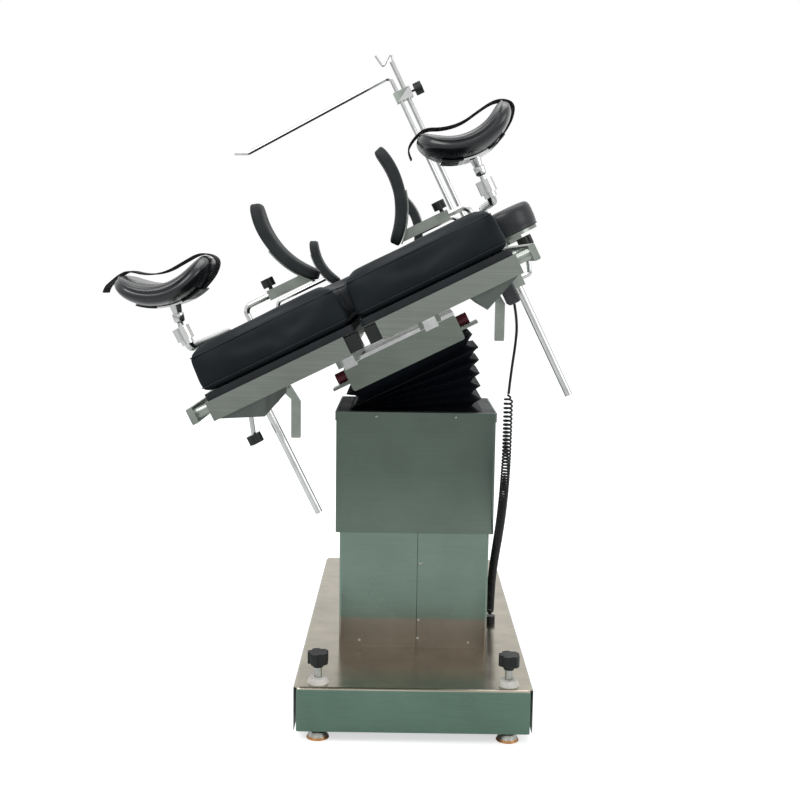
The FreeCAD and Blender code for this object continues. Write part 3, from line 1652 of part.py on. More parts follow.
# Handset and its cord
def build_handset():
    half_thick = S.handset_thick / 2
    half_width = S.handset_width / 2
    low = S.handset_height - S.handset_length / 2
    high = S.handset_height + S.handset_length / 2
    case = rounded(
        between(
            (S.handset_u - half_thick, S.handset_y - half_width, low),
            (S.handset_u + half_thick, S.handset_y + half_width, high),
        ),
        S.handset_edge, any_edge,
    )
    rail_out = S.rail_centre + S.rail_thick / 2 + S.seat_gap
    rail_in = S.rail_centre - S.rail_thick / 2 - S.seat_gap
    rail_top = S.rail_bottom + S.rail_height + S.seat_gap
    thick = S.handset_hook_thick
    flank = S.handset_hook_width / 2
    hook = slab(
        [
            (S.handset_u + half_thick - 1, high - 22),
            (rail_out + thick, high - 22),
            (rail_out + thick, rail_top + thick),
            (rail_in - thick, rail_top + thick),
            (rail_in - thick, rail_top - 12),
            (rail_in, rail_top - 12),
            (rail_in, rail_top),
            (rail_out, rail_top),
            (rail_out, high - 16),
            (S.handset_u + half_thick - 1, high - 16),
        ],
        "y", S.handset_y - flank, S.handset_y + flank,
    )
    node("handset", ON_TABLE, fuse(case, hook))


def cord_tube(label, anchors, runs, radius):
    """A round cord along straight runs and tangent arcs that follow a smooth curve."""
    spots = []
    for step in range(runs + 1):
        share = step / runs
        weights = (
            (1 - share) ** 3,
            3 * share * (1 - share) ** 2,
            3 * share ** 2 * (1 - share),
            share ** 3,
        )
        spot = Vector()
        for weight, anchor in zip(weights, anchors):
            spot = spot + anchor * weight
        spots.append(spot)
    edges = []
    start = spots[0]
    for before, corner, after in zip(spots, spots[1:], spots[2:]):
        back = before - corner
        ahead = after - corner
        reach = 0.45 * min(back.Length, ahead.Length)
        back.normalize()
        ahead.normalize()
        half = back.getAngle(ahead) / 2
        bend = reach * math.tan(half)
        middle = corner + (back + ahead).normalize() * (bend / math.sin(half) - bend)
        edges.append(Part.LineSegment(start, corner + back * reach).toShape())
        edges.append(Part.Arc(corner + back * reach, middle, corner + ahead * reach).toShape())
        start = corner + ahead * reach
    edges.append(Part.LineSegment(start, spots[-1]).toShape())
    spine = doc.addObject("Part::Feature", "CordPath")
    spine.Shape = Part.Wire(edges)
    circle = doc.addObject("Part::Circle", "CordSection")
    bind(circle, "Radius", radius)
    circle.Placement = Placement(spots[0], Rotation(Vector(0, 0, 1), (spots[1] - spots[0])))
    item = doc.addObject("Part::Sweep", "Cord")
    item.Sections = [circle]
    item.Spine = (spine, [f"Edge{number}" for number in range(1, len(edges) + 1)])
    item.Solid = True
    item.Label = label
    NODES[label] = item


def build_cords():
    low = S.handset_height - S.handset_length / 2 - S.cord_radius / 4
    top = ON_TABLE.multVec(Vector(S.handset_u.value, S.handset_y.value, low.value))
    down = ON_TABLE.Rotation.multVec(Vector(0, 0, -1))
    joint = ON_COLUMN.multVec(Vector(186, -322, 731))
    gland_top = BASE_TOP + S.gland_height + S.coil_radius / 4
    foot = ON_COLUMN.multVec(Vector(S.gland_x.value, S.gland_y.value, gland_top.value))
    cord_tube(
        "handset_cord_lead", [top, top + down * 45, joint + Vector(1, -1, 60), joint + Vector(0, 0, 1)],
        4, S.cord_radius,
    )
    cord_tube(
        "handset_cord_coil",
        [joint, joint + Vector(5, 12, -330), foot + Vector(0, 0, 200), foot],
        8, S.coil_radius,
    )


build_base_cover()
build_base_frame()
build_jacks()
build_column_lower_covers()
build_column_upper_cover()
build_lift_ram()
build_cardan_cross()
build_bellows()
build_head_box()
build_buffers()
build_seat()
build_levers()
build_legs()
build_back()
build_headrest()
build_clamps()
build_crutches()
build_side_supports()
build_shoulder_supports()
build_screen()
build_arm_board()
build_handset()
build_cords()
doc.recompute()

for item in doc.Objects:
    if "Invalid" in item.State or "Error" in item.State:
        raise RuntimeError(f"{item.Label} failed: {item.State}")
for label, item in NODES.items():
    if item.Shape.isNull() or not item.Shape.isValid():
        raise RuntimeError(f"{label} has no valid shape")

os.makedirs("parts", exist_ok=True)
for label, item in NODES.items():
    item.Shape.exportStep(f"parts/{label}.step")
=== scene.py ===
import json
import math

import bmesh
import bpy
from mathutils import Matrix, Vector, noise
from mathutils.bvhtree import BVHTree
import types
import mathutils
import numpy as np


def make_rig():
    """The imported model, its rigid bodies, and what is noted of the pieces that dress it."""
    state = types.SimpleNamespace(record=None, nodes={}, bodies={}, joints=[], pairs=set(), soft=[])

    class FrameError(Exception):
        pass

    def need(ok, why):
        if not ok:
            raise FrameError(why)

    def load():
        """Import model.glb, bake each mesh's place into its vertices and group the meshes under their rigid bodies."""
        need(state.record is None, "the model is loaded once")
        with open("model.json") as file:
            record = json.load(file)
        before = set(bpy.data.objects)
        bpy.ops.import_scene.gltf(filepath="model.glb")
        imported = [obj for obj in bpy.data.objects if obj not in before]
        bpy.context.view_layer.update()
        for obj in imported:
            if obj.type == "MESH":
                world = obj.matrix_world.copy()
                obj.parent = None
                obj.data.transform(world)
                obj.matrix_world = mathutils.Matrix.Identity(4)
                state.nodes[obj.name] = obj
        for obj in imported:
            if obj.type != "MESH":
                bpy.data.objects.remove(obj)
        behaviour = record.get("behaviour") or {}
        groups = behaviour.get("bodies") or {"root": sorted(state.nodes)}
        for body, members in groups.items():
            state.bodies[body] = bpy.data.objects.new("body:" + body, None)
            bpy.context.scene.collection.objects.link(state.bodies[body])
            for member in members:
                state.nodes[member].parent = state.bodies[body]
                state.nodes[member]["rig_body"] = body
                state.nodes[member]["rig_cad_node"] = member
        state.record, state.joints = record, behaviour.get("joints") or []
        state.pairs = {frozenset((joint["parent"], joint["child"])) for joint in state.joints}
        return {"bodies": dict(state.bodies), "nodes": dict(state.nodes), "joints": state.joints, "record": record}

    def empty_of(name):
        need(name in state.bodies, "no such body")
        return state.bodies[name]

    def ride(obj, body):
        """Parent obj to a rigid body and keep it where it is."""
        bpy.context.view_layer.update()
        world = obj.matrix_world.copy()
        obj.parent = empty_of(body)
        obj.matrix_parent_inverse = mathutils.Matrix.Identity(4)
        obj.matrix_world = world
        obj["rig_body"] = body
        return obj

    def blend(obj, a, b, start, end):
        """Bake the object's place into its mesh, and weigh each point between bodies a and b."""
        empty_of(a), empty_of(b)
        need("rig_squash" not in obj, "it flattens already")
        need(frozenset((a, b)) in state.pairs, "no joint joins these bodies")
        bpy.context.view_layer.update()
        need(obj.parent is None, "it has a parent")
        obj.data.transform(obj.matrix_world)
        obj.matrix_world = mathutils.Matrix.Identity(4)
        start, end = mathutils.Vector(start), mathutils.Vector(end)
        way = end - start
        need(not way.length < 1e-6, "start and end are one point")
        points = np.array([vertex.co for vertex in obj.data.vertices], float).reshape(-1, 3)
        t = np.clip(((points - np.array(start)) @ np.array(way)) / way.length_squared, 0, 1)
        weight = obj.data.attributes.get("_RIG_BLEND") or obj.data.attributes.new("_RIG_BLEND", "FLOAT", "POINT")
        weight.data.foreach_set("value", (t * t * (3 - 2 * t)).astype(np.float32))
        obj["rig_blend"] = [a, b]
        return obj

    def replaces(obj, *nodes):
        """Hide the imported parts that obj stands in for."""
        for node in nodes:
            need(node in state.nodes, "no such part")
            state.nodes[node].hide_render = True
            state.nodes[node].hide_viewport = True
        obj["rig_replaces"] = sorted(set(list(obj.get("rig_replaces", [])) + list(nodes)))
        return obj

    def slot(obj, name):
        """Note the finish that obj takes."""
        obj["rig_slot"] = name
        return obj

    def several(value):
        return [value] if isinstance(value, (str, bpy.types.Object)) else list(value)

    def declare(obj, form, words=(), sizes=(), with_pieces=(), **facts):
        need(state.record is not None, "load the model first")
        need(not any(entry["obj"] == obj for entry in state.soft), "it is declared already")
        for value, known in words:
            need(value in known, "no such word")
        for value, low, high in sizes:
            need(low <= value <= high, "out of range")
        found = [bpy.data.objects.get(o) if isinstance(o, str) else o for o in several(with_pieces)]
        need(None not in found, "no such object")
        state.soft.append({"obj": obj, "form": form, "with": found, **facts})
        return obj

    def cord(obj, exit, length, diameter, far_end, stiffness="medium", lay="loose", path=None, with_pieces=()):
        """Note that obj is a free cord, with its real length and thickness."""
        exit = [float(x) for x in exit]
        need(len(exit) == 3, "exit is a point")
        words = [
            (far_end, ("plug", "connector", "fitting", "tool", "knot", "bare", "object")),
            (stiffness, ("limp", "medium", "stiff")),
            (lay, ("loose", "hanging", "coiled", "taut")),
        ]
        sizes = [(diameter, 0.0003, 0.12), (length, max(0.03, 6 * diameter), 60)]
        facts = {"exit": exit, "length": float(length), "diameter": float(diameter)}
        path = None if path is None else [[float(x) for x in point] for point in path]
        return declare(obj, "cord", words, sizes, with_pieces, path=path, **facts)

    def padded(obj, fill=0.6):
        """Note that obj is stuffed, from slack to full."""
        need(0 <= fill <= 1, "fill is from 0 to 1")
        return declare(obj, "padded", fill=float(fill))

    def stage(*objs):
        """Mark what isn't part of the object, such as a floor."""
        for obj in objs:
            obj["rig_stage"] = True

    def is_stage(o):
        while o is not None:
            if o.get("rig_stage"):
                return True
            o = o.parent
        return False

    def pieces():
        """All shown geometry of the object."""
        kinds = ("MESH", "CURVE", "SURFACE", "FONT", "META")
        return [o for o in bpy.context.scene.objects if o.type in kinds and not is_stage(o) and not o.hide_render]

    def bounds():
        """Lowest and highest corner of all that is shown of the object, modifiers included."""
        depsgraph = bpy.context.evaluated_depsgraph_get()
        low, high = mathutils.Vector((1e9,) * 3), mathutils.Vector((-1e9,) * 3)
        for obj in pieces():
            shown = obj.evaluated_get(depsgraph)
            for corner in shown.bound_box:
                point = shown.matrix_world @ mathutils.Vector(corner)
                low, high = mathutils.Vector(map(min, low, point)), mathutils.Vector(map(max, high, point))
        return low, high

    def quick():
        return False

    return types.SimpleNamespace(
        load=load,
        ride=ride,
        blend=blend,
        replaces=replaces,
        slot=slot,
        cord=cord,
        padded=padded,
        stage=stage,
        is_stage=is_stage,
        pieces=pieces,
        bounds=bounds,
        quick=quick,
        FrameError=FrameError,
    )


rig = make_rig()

# Looks of the operating table. Metres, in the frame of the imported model.
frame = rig.load()
cad_low, cad_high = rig.bounds()

COLUMN = Vector((0.1142, -0.0485, 0.0))
TILT = math.radians(26.4)
TABLE = (
    Matrix.Translation(COLUMN + Vector((0, 0, 0.706)))
    @ Matrix.Rotation(-TILT, 4, "Y")
)


def on_table(u, v, w):
    """A place given in millimetres of the level table top."""
    return TABLE @ (Vector((u, v, w)) / 1000)


def link(obj):
    bpy.context.scene.collection.objects.link(obj)
    return obj


# Camera, at the photograph's viewpoint
CAMERA_SPOT = Vector((0.0832, -2.5837, 0.999))
CAMERA_YAW = math.radians(-0.127)
CAMERA_PITCH = math.radians(7.281)
CAMERA_ROLL = math.radians(0.779)
CAMERA_LENS = 49.03
SENSOR_WIDTH = 36


def make_camera():
    reach = math.cos(CAMERA_PITCH)
    ahead = Vector((
        math.sin(CAMERA_YAW) * reach, math.cos(CAMERA_YAW) * reach, -math.sin(CAMERA_PITCH)))
    level = Vector((math.cos(CAMERA_YAW), -math.sin(CAMERA_YAW), 0))
    up = level.cross(ahead)
    right = math.cos(CAMERA_ROLL) * level + math.sin(CAMERA_ROLL) * up
    over = -math.sin(CAMERA_ROLL) * level + math.cos(CAMERA_ROLL) * up
    data = bpy.data.cameras.new("Camera")
    data.lens = CAMERA_LENS
    data.sensor_width = SENSOR_WIDTH
    camera = link(bpy.data.objects.new("Camera", data))
    camera.matrix_world = Matrix.Translation(CAMERA_SPOT) @ Matrix((
        (right.x, over.x, -ahead.x),
        (right.y, over.y, -ahead.y),
        (right.z, over.z, -ahead.z),
    )).to_4x4()
    bpy.context.scene.camera = camera


make_camera()


# Meshes from points
def mesh_object(name, points, faces):
    mesh = bpy.data.meshes.new(name)
    mesh.from_pydata([tuple(point) for point in points], [], faces)
    mesh.validate()
    mesh.shade_smooth()
    return link(bpy.data.objects.new(name, mesh))


def bridge(made, loops):
    """Faces between neighbouring loops that hold as many points."""
    for lower, upper in zip(loops, loops[1:]):
        for k in range(len(lower)):
            after = (k + 1) % len(lower)
            made.faces.new((lower[k], lower[after], upper[after], upper[k]))


def wall_faces(rings, count):
    """Faces between rings whose points are numbered one ring after another."""
    faces = []
    for i in range(rings - 1):
        for k in range(count):
            after = (k + 1) % count
            faces.append((
                i * count + k, i * count + after, (i + 1) * count + after, (i + 1) * count + k))
    return faces


def rounded_outline(half_x, half_y, corner, steps):
    """Points round a rectangle with round corners, from its middle."""
    points = []
    for x, y, start in ((1, 1, 0), (-1, 1, 90), (-1, -1, 180), (1, -1, 270)):
        for step in range(steps + 1):
            angle = math.radians(start + 90 / steps * step)
            points.append((
                x * (half_x - corner) + corner * math.cos(angle),
                y * (half_y - corner) + corner * math.sin(angle),
            ))
    return points


def built_mesh(name, made):
    mesh = bpy.data.meshes.new(name)
    made.to_mesh(mesh)
    made.free()
    return mesh


def frames_along(line, closed=False):
    """A pair of cross directions at each point of a line, carried along without twist."""
    count = len(line)
    tangents = []
    for i in range(count):
        if closed:
            before, after = line[i - 1], line[(i + 1) % count]
        else:
            before, after = line[max(i - 1, 0)], line[min(i + 1, count - 1)]
        tangents.append((after - before).normalized())
    side = tangents[0].orthogonal().normalized()
    pairs = []
    for tangent in tangents:
        side = (side - tangent * side.dot(tangent)).normalized()
        pairs.append((side, tangent.cross(side)))
    return pairs


def tube_rings(line, radius, sides, closed=False):
    pairs = frames_along(line, closed)
    points = []
    for spot, (side, other) in zip(line, pairs):
        for k in range(sides):
            angle = 2 * math.pi * k / sides
            points.append(spot + radius * (math.cos(angle) * side + math.sin(angle) * other))
    faces = []
    rings = len(line)
    for i in range(rings if closed else rings - 1):
        after = (i + 1) % rings
        for k in range(sides):
            faces.append((
                i * sides + k, after * sides + k,
                after * sides + (k + 1) % sides, i * sides + (k + 1) % sides,
            ))
    if not closed:
        faces.append(tuple(range(sides))[::-1])
        faces.append(tuple((rings - 1) * sides + k for k in range(sides)))
    return points, faces


def tube(name, line, radius, sides=8, closed=False):
    points, faces = tube_rings(line, radius, sides, closed)
    return mesh_object(name, points, faces)


def joined(name, groups):
    """One mesh from several lists of points and faces."""
    points = []
    faces = []
    for some_points, some_faces in groups:
        start = len(points)
        points += some_points
        faces += [tuple(start + i for i in face) for face in some_faces]
    return mesh_object(name, points, faces)


# Cords of the handset
def spline_points(route, resolution=24):
    """Points along the smooth line of a cord's route."""
    curve = bpy.data.curves.new("Route", "CURVE")
    curve.dimensions = "3D"
    curve.resolution_u = resolution
    spline = curve.splines.new("NURBS")
    spline.points.add(len(route) - 1)
    for place, point in zip(spline.points, route):
        place.co = (*point, 1)
    spline.order_u = 3
    spline.use_endpoint_u = True
    holder = bpy.data.objects.new("Route", curve)
    mesh = bpy.data.meshes.new_from_object(holder)
    points = [vertex.co.copy() for vertex in mesh.vertices]
    bpy.data.objects.remove(holder)
    return points


def cubic(anchors, share):
    weights = (
        (1 - share) ** 3, 3 * share * (1 - share) ** 2, 3 * share ** 2 * (1 - share), share ** 3)
    return sum((anchor * weight for anchor, weight in zip(anchors, weights)), Vector())


CORD_JOINT = COLUMN + Vector((0.186, -0.322, 0.731))
CORD_TOP = on_table(266, -325, 103.25)
TABLE_DOWN = TABLE.to_3x3() @ Vector((0, 0, -1))
GLAND = COLUMN + Vector((0.191, 0.060, 0.1386))
LEAD_ROUTE = [
    cubic(
        [
            CORD_TOP, CORD_TOP + TABLE_DOWN * 0.045,
            CORD_JOINT + Vector((0.001, -0.001, 0.060)), CORD_JOINT + Vector((0, 0, 0.001)),
        ],
        step / 4,
    )
    for step in range(5)
]
COIL_ROUTE = [
    cubic(
        [
            CORD_JOINT, CORD_JOINT + Vector((0.005, 0.012, -0.330)),
            GLAND + Vector((0, 0, 0.200)), GLAND,
        ],
        step / 8,
    )
    for step in range(9)
]
LEAD_DIAMETER = 0.0055
WIRE_DIAMETER = 0.0042
COIL_RADIUS = 0.0105 - WIRE_DIAMETER / 2 - 0.0003
COIL_TAPER = 0.012
TURN_STEPS = 18
LOOSE_PITCH = 0.0096
TIGHTENING = 0.0044
TIGHT_FROM = 0.55
PITCH_DRIFT = 0.0007


def make_cords():
    line = spline_points(LEAD_ROUTE)
    lead = tube("cord_lead", line, LEAD_DIAMETER / 2, 12)
    length = sum((b - a).length for a, b in zip(line, line[1:]))
    lead_spec = {
        "exit": tuple(CORD_TOP), "length": round(length, 3), "diameter": LEAD_DIAMETER,
        "far_end": "object", "stiffness": "medium", "lay": "hanging", "path": line,
    }
    middle = spline_points(COIL_ROUTE)
    stations = [0.0]
    for a, b in zip(middle, middle[1:]):
        stations.append(stations[-1] + (b - a).length)
    total = stations[-1]
    pairs = frames_along(middle)
    helix = []
    angle = 0.0
    walked = 0.0
    segment = 0
    while walked < total:
        while segment < len(middle) - 2 and stations[segment + 1] < walked:
            segment += 1
        part = (walked - stations[segment]) / max(stations[segment + 1] - stations[segment], 1e-9)
        centre = middle[segment].lerp(middle[segment + 1], min(part, 1.0))
        side, other = pairs[segment]
        end_share = min(walked, total - walked) / COIL_TAPER
        reach = COIL_RADIUS * min(1.0, max(0.0, end_share))
        helix.append(centre + reach * (math.cos(angle) * side + math.sin(angle) * other))
        share = walked / total
        pitch = LOOSE_PITCH - TIGHTENING * min(1.0, share / TIGHT_FROM)
        pitch += PITCH_DRIFT * noise.noise(Vector((share * 14, 3.1, 0)))
        angle += 2 * math.pi / TURN_STEPS
        walked += pitch / TURN_STEPS
    coil = tube("cord_coil", helix, WIRE_DIAMETER / 2, 7)
    length = sum((b - a).length for a, b in zip(helix, helix[1:]))
    coil_spec = {
        "exit": tuple(GLAND), "length": round(length, 2), "diameter": WIRE_DIAMETER,
        "far_end": "object", "stiffness": "limp", "lay": "hanging", "path": helix,
    }
    return lead, lead_spec, coil, coil_spec


cord_lead, lead_spec, cord_coil, coil_spec = make_cords()


# Materials
class Shade:
    """A material with its nodes, which are added by type and set by name."""

    def __init__(self, name, rough=0.5, metallic=0.0, colour=(0.5, 0.5, 0.5)):
        self.material = bpy.data.materials.new(name)
        self.material.use_nodes = True
        self.tree = self.material.node_tree
        self.bsdf = self.tree.nodes["Principled BSDF"]
        self.bsdf.inputs["Roughness"].default_value = rough
        self.bsdf.inputs["Metallic"].default_value = metallic
        self.bsdf.inputs["Base Color"].default_value = (*colour, 1)
        self.coordinates = self.add("ShaderNodeTexCoord")

    def add(self, kind, **settings):
        made = self.tree.nodes.new(kind)
        for key, value in settings.items():
            setattr(made, key, value)
        return made

    def wire(self, source, output, target, entry):
        self.tree.links.new(source.outputs[output], target.inputs[entry])

    def noise(self, scale, stretch=(1, 1, 1), detail=4.0, rough=0.55):
        """Noise in metres of the object, stretched along its axes."""
        mapping = self.add("ShaderNodeMapping")
        mapping.inputs["Scale"].default_value = stretch
        self.wire(self.coordinates, "Object", mapping, "Vector")
        texture = self.add("ShaderNodeTexNoise")
        texture.inputs["Scale"].default_value = scale
        texture.inputs["Detail"].default_value = detail
        texture.inputs["Roughness"].default_value = rough
        self.wire(mapping, "Vector", texture, "Vector")
        return texture

    def cells(self, scale):
        texture = self.add("ShaderNodeTexVoronoi", feature="DISTANCE_TO_EDGE")
        texture.inputs["Scale"].default_value = scale
        self.wire(self.coordinates, "Object", texture, "Vector")
        return texture

    def ramp(self, source, output, stops):
        ramp = self.add("ShaderNodeValToRGB")
        self.wire(source, output, ramp, "Fac")
        elements = ramp.color_ramp.elements
        while len(elements) < len(stops):
            elements.new(0.5)
        for element, (place, colour) in zip(elements, stops):
            element.position = place
            element.color = (*colour, 1)
        return ramp

    def spread(self, source, output, low, high, new_low, new_high):
        """A number carried from one range to another."""
        change = self.add("ShaderNodeMapRange")
        self.wire(source, output, change, "Value")
        change.inputs["From Min"].default_value = low
        change.inputs["From Max"].default_value = high
        change.inputs["To Min"].default_value = new_low
        change.inputs["To Max"].default_value = new_high
        return change

    def mix(self, factor, factor_out, first, first_out, second, second_out, blend="MIX"):
        mixed = self.add("ShaderNodeMix", data_type="RGBA", blend_type=blend)
        if factor is None:
            mixed.inputs[0].default_value = factor_out
        else:
            self.wire(factor, factor_out, mixed, 0)
        for entry, source, output in ((6, first, first_out), (7, second, second_out)):
            if source is None:
                mixed.inputs[entry].default_value = (*output, 1)
            else:
                self.wire(source, output, mixed, entry)
        return mixed

    def bump(self, source, output, strength, distance, under=None):
        bump = self.add("ShaderNodeBump")
        bump.inputs["Strength"].default_value = strength
        bump.inputs["Distance"].default_value = distance
        self.wire(source, output, bump, "Height")
        if under is not None:
            self.wire(under, "Normal", bump, "Normal")
        self.wire(bump, "Normal", self.bsdf, "Normal")
        return bump

    def tint(self, cloud, colour, places, shades):
        """Base colour from a cloud, between two shades of one colour."""
        stops = [(place, shaded(colour, factor)) for place, factor in zip(places, shades)]
        tone = self.ramp(cloud, "Fac", stops)
        self.wire(tone, "Color", self.bsdf, "Base Color")

    def gloss(self, cloud, high, rough_low, rough_high):
        """Roughness from a cloud, between two values."""
        spread = self.spread(cloud, "Fac", 0.3, high, rough_low, rough_high)
        self.wire(spread, "Result", self.bsdf, "Roughness")

    def set(self, **values):
        for key, value in values.items():
            self.bsdf.inputs[key.replace("_", " ")].default_value = value


def shaded(colour, factor):
    return tuple(min(1.0, channel * factor) for channel in colour)


def brushed(name, colour, rough, grain, metallic, strength, smudge=0.12):
    """Brushed sheet steel: fine streaks along one axis, with soft smudges in colour and gloss."""
    shade = Shade(name, rough, metallic)
    streaks = shade.noise(1.0, grain, 3.0, 0.6)
    cloud = shade.noise(7.0, detail=3.0, rough=0.6)
    tone = shade.ramp(streaks, "Fac", [(0.3, shaded(colour, 0.88)), (0.7, shaded(colour, 1.1))])
    haze = shade.ramp(cloud, "Fac", [
        (0.35, (1 - smudge, 1 - smudge, 1 - smudge)), (0.7, (1 + smudge / 3,) * 3)])
    full = shade.mix(None, 1.0, tone, "Color", haze, "Color", "MULTIPLY")
    shade.wire(full, 2, shade.bsdf, "Base Color")
    shade.gloss(cloud, 0.7, rough * 0.85, rough * 1.2)
    shade.bump(streaks, "Fac", strength, 0.0002)
    return shade


def chrome(name, colour=(0.62, 0.63, 0.62), rough=0.12):
    """Plated rod: bright, with faint scratches round it and dulled patches."""
    shade = Shade(name, rough, 1.0)
    patches = shade.noise(35.0, rough=0.6)
    scratches = shade.noise(1.0, (300, 300, 2600), 2.0, 0.5)
    shade.tint(patches, colour, (0.3, 0.65), (0.82, 1.0))
    shade.gloss(patches, 0.75, rough * 1.7, rough * 0.7)
    shade.bump(scratches, "Fac", 0.05, 0.0001)
    return shade


def cast(name, colour, rough=0.45, metallic=0.9, grain=420.0, strength=0.15):
    """Cast or machined metal with a fine pitted skin."""
    shade = Shade(name, rough, metallic)
    pits = shade.noise(grain, detail=3.0, rough=0.6)
    cloud = shade.noise(22.0, detail=3.0, rough=0.5)
    shade.tint(cloud, colour, (0.3, 0.7), (0.8, 1.15))
    shade.gloss(cloud, 0.7, rough * 0.85, rough * 1.2)
    shade.bump(pits, "Fac", strength, 0.0003)
    return shade


def leather(name, colour, rough, level, grain=650.0, strength=0.25):
    """Coated upholstery cloth: pebbled grain, slow shade changes and polished patches."""
    shade = Shade(name, rough)
    pebble = shade.cells(grain)
    fine = shade.noise(grain * 1.7, detail=3.0, rough=0.6)
    cloud = shade.noise(9.0, rough=0.6)
    shade.tint(cloud, colour, (0.3, 0.72), (0.75, 1.5))
    shade.gloss(cloud, 0.75, rough * 1.12, rough * 0.86)
    shade.set(Specular_IOR_Level=level)
    first = shade.bump(pebble, "Distance", strength, 0.0004)
    shade.bump(fine, "Fac", strength * 0.5, 0.0002, first)
    return shade


def moulded(name, colour, rough, level=0.4, grain=900.0, strength=0.12):
    """Moulded plastic or rubber with a spark-eroded skin and rubbed places."""
    shade = Shade(name, rough)
    skin = shade.noise(grain, detail=3.0, rough=0.6)
    cloud = shade.noise(28.0, detail=3.0, rough=0.5)
    shade.tint(cloud, colour, (0.3, 0.75), (0.8, 1.35))
    shade.gloss(cloud, 0.75, rough * 1.1, rough * 0.85)
    shade.set(Specular_IOR_Level=level)
    shade.bump(skin, "Fac", strength, 0.0003)
    return shade


def webbing(name, colour):
    """Woven strap: ribs across and fine threads along, from two waves."""
    shade = Shade(name, 0.7)
    ribs = shade.add("ShaderNodeTexWave", wave_type="BANDS", bands_direction="Y")
    ribs.inputs["Scale"].default_value = 700
    shade.wire(shade.coordinates, "Object", ribs, "Vector")
    threads = shade.add("ShaderNodeTexWave", wave_type="BANDS", bands_direction="X")
    threads.inputs["Scale"].default_value = 900
    shade.wire(shade.coordinates, "Object", threads, "Vector")
    cross = shade.mix(None, 0.5, ribs, "Color", threads, "Color", "MULTIPLY")
    tone = shade.ramp(cross, 2, [(0.0, shaded(colour, 0.6)), (1.0, shaded(colour, 1.5))])
    shade.wire(tone, "Color", shade.bsdf, "Base Color")
    shade.set(Specular_IOR_Level=0.2)
    shade.bump(cross, 2, 0.5, 0.0004)
    return shade


def painted_reflection_by_height(shade, upper, lower, place, soft):
    """Adds a slow change of colour from lower to upper around a height of the object: a painted reflection."""
    parts = shade.add("ShaderNodeSeparateXYZ")
    shade.wire(shade.coordinates, "Object", parts, "Vector")
    share = shade.spread(parts, "Z", place - soft, place + soft, 0, 1)
    # Painted reflection: the lower colour below the height, the upper colour above it.
    blend = shade.mix(share, "Result", None, lower, None, upper)
    streaked = shade.bsdf.inputs["Base Color"].links[0].from_node
    scaled = shade.mix(None, 1.0, streaked, 2, blend, 2, "MULTIPLY")
    shade.wire(scaled, 2, shade.bsdf, "Base Color")
    return shade


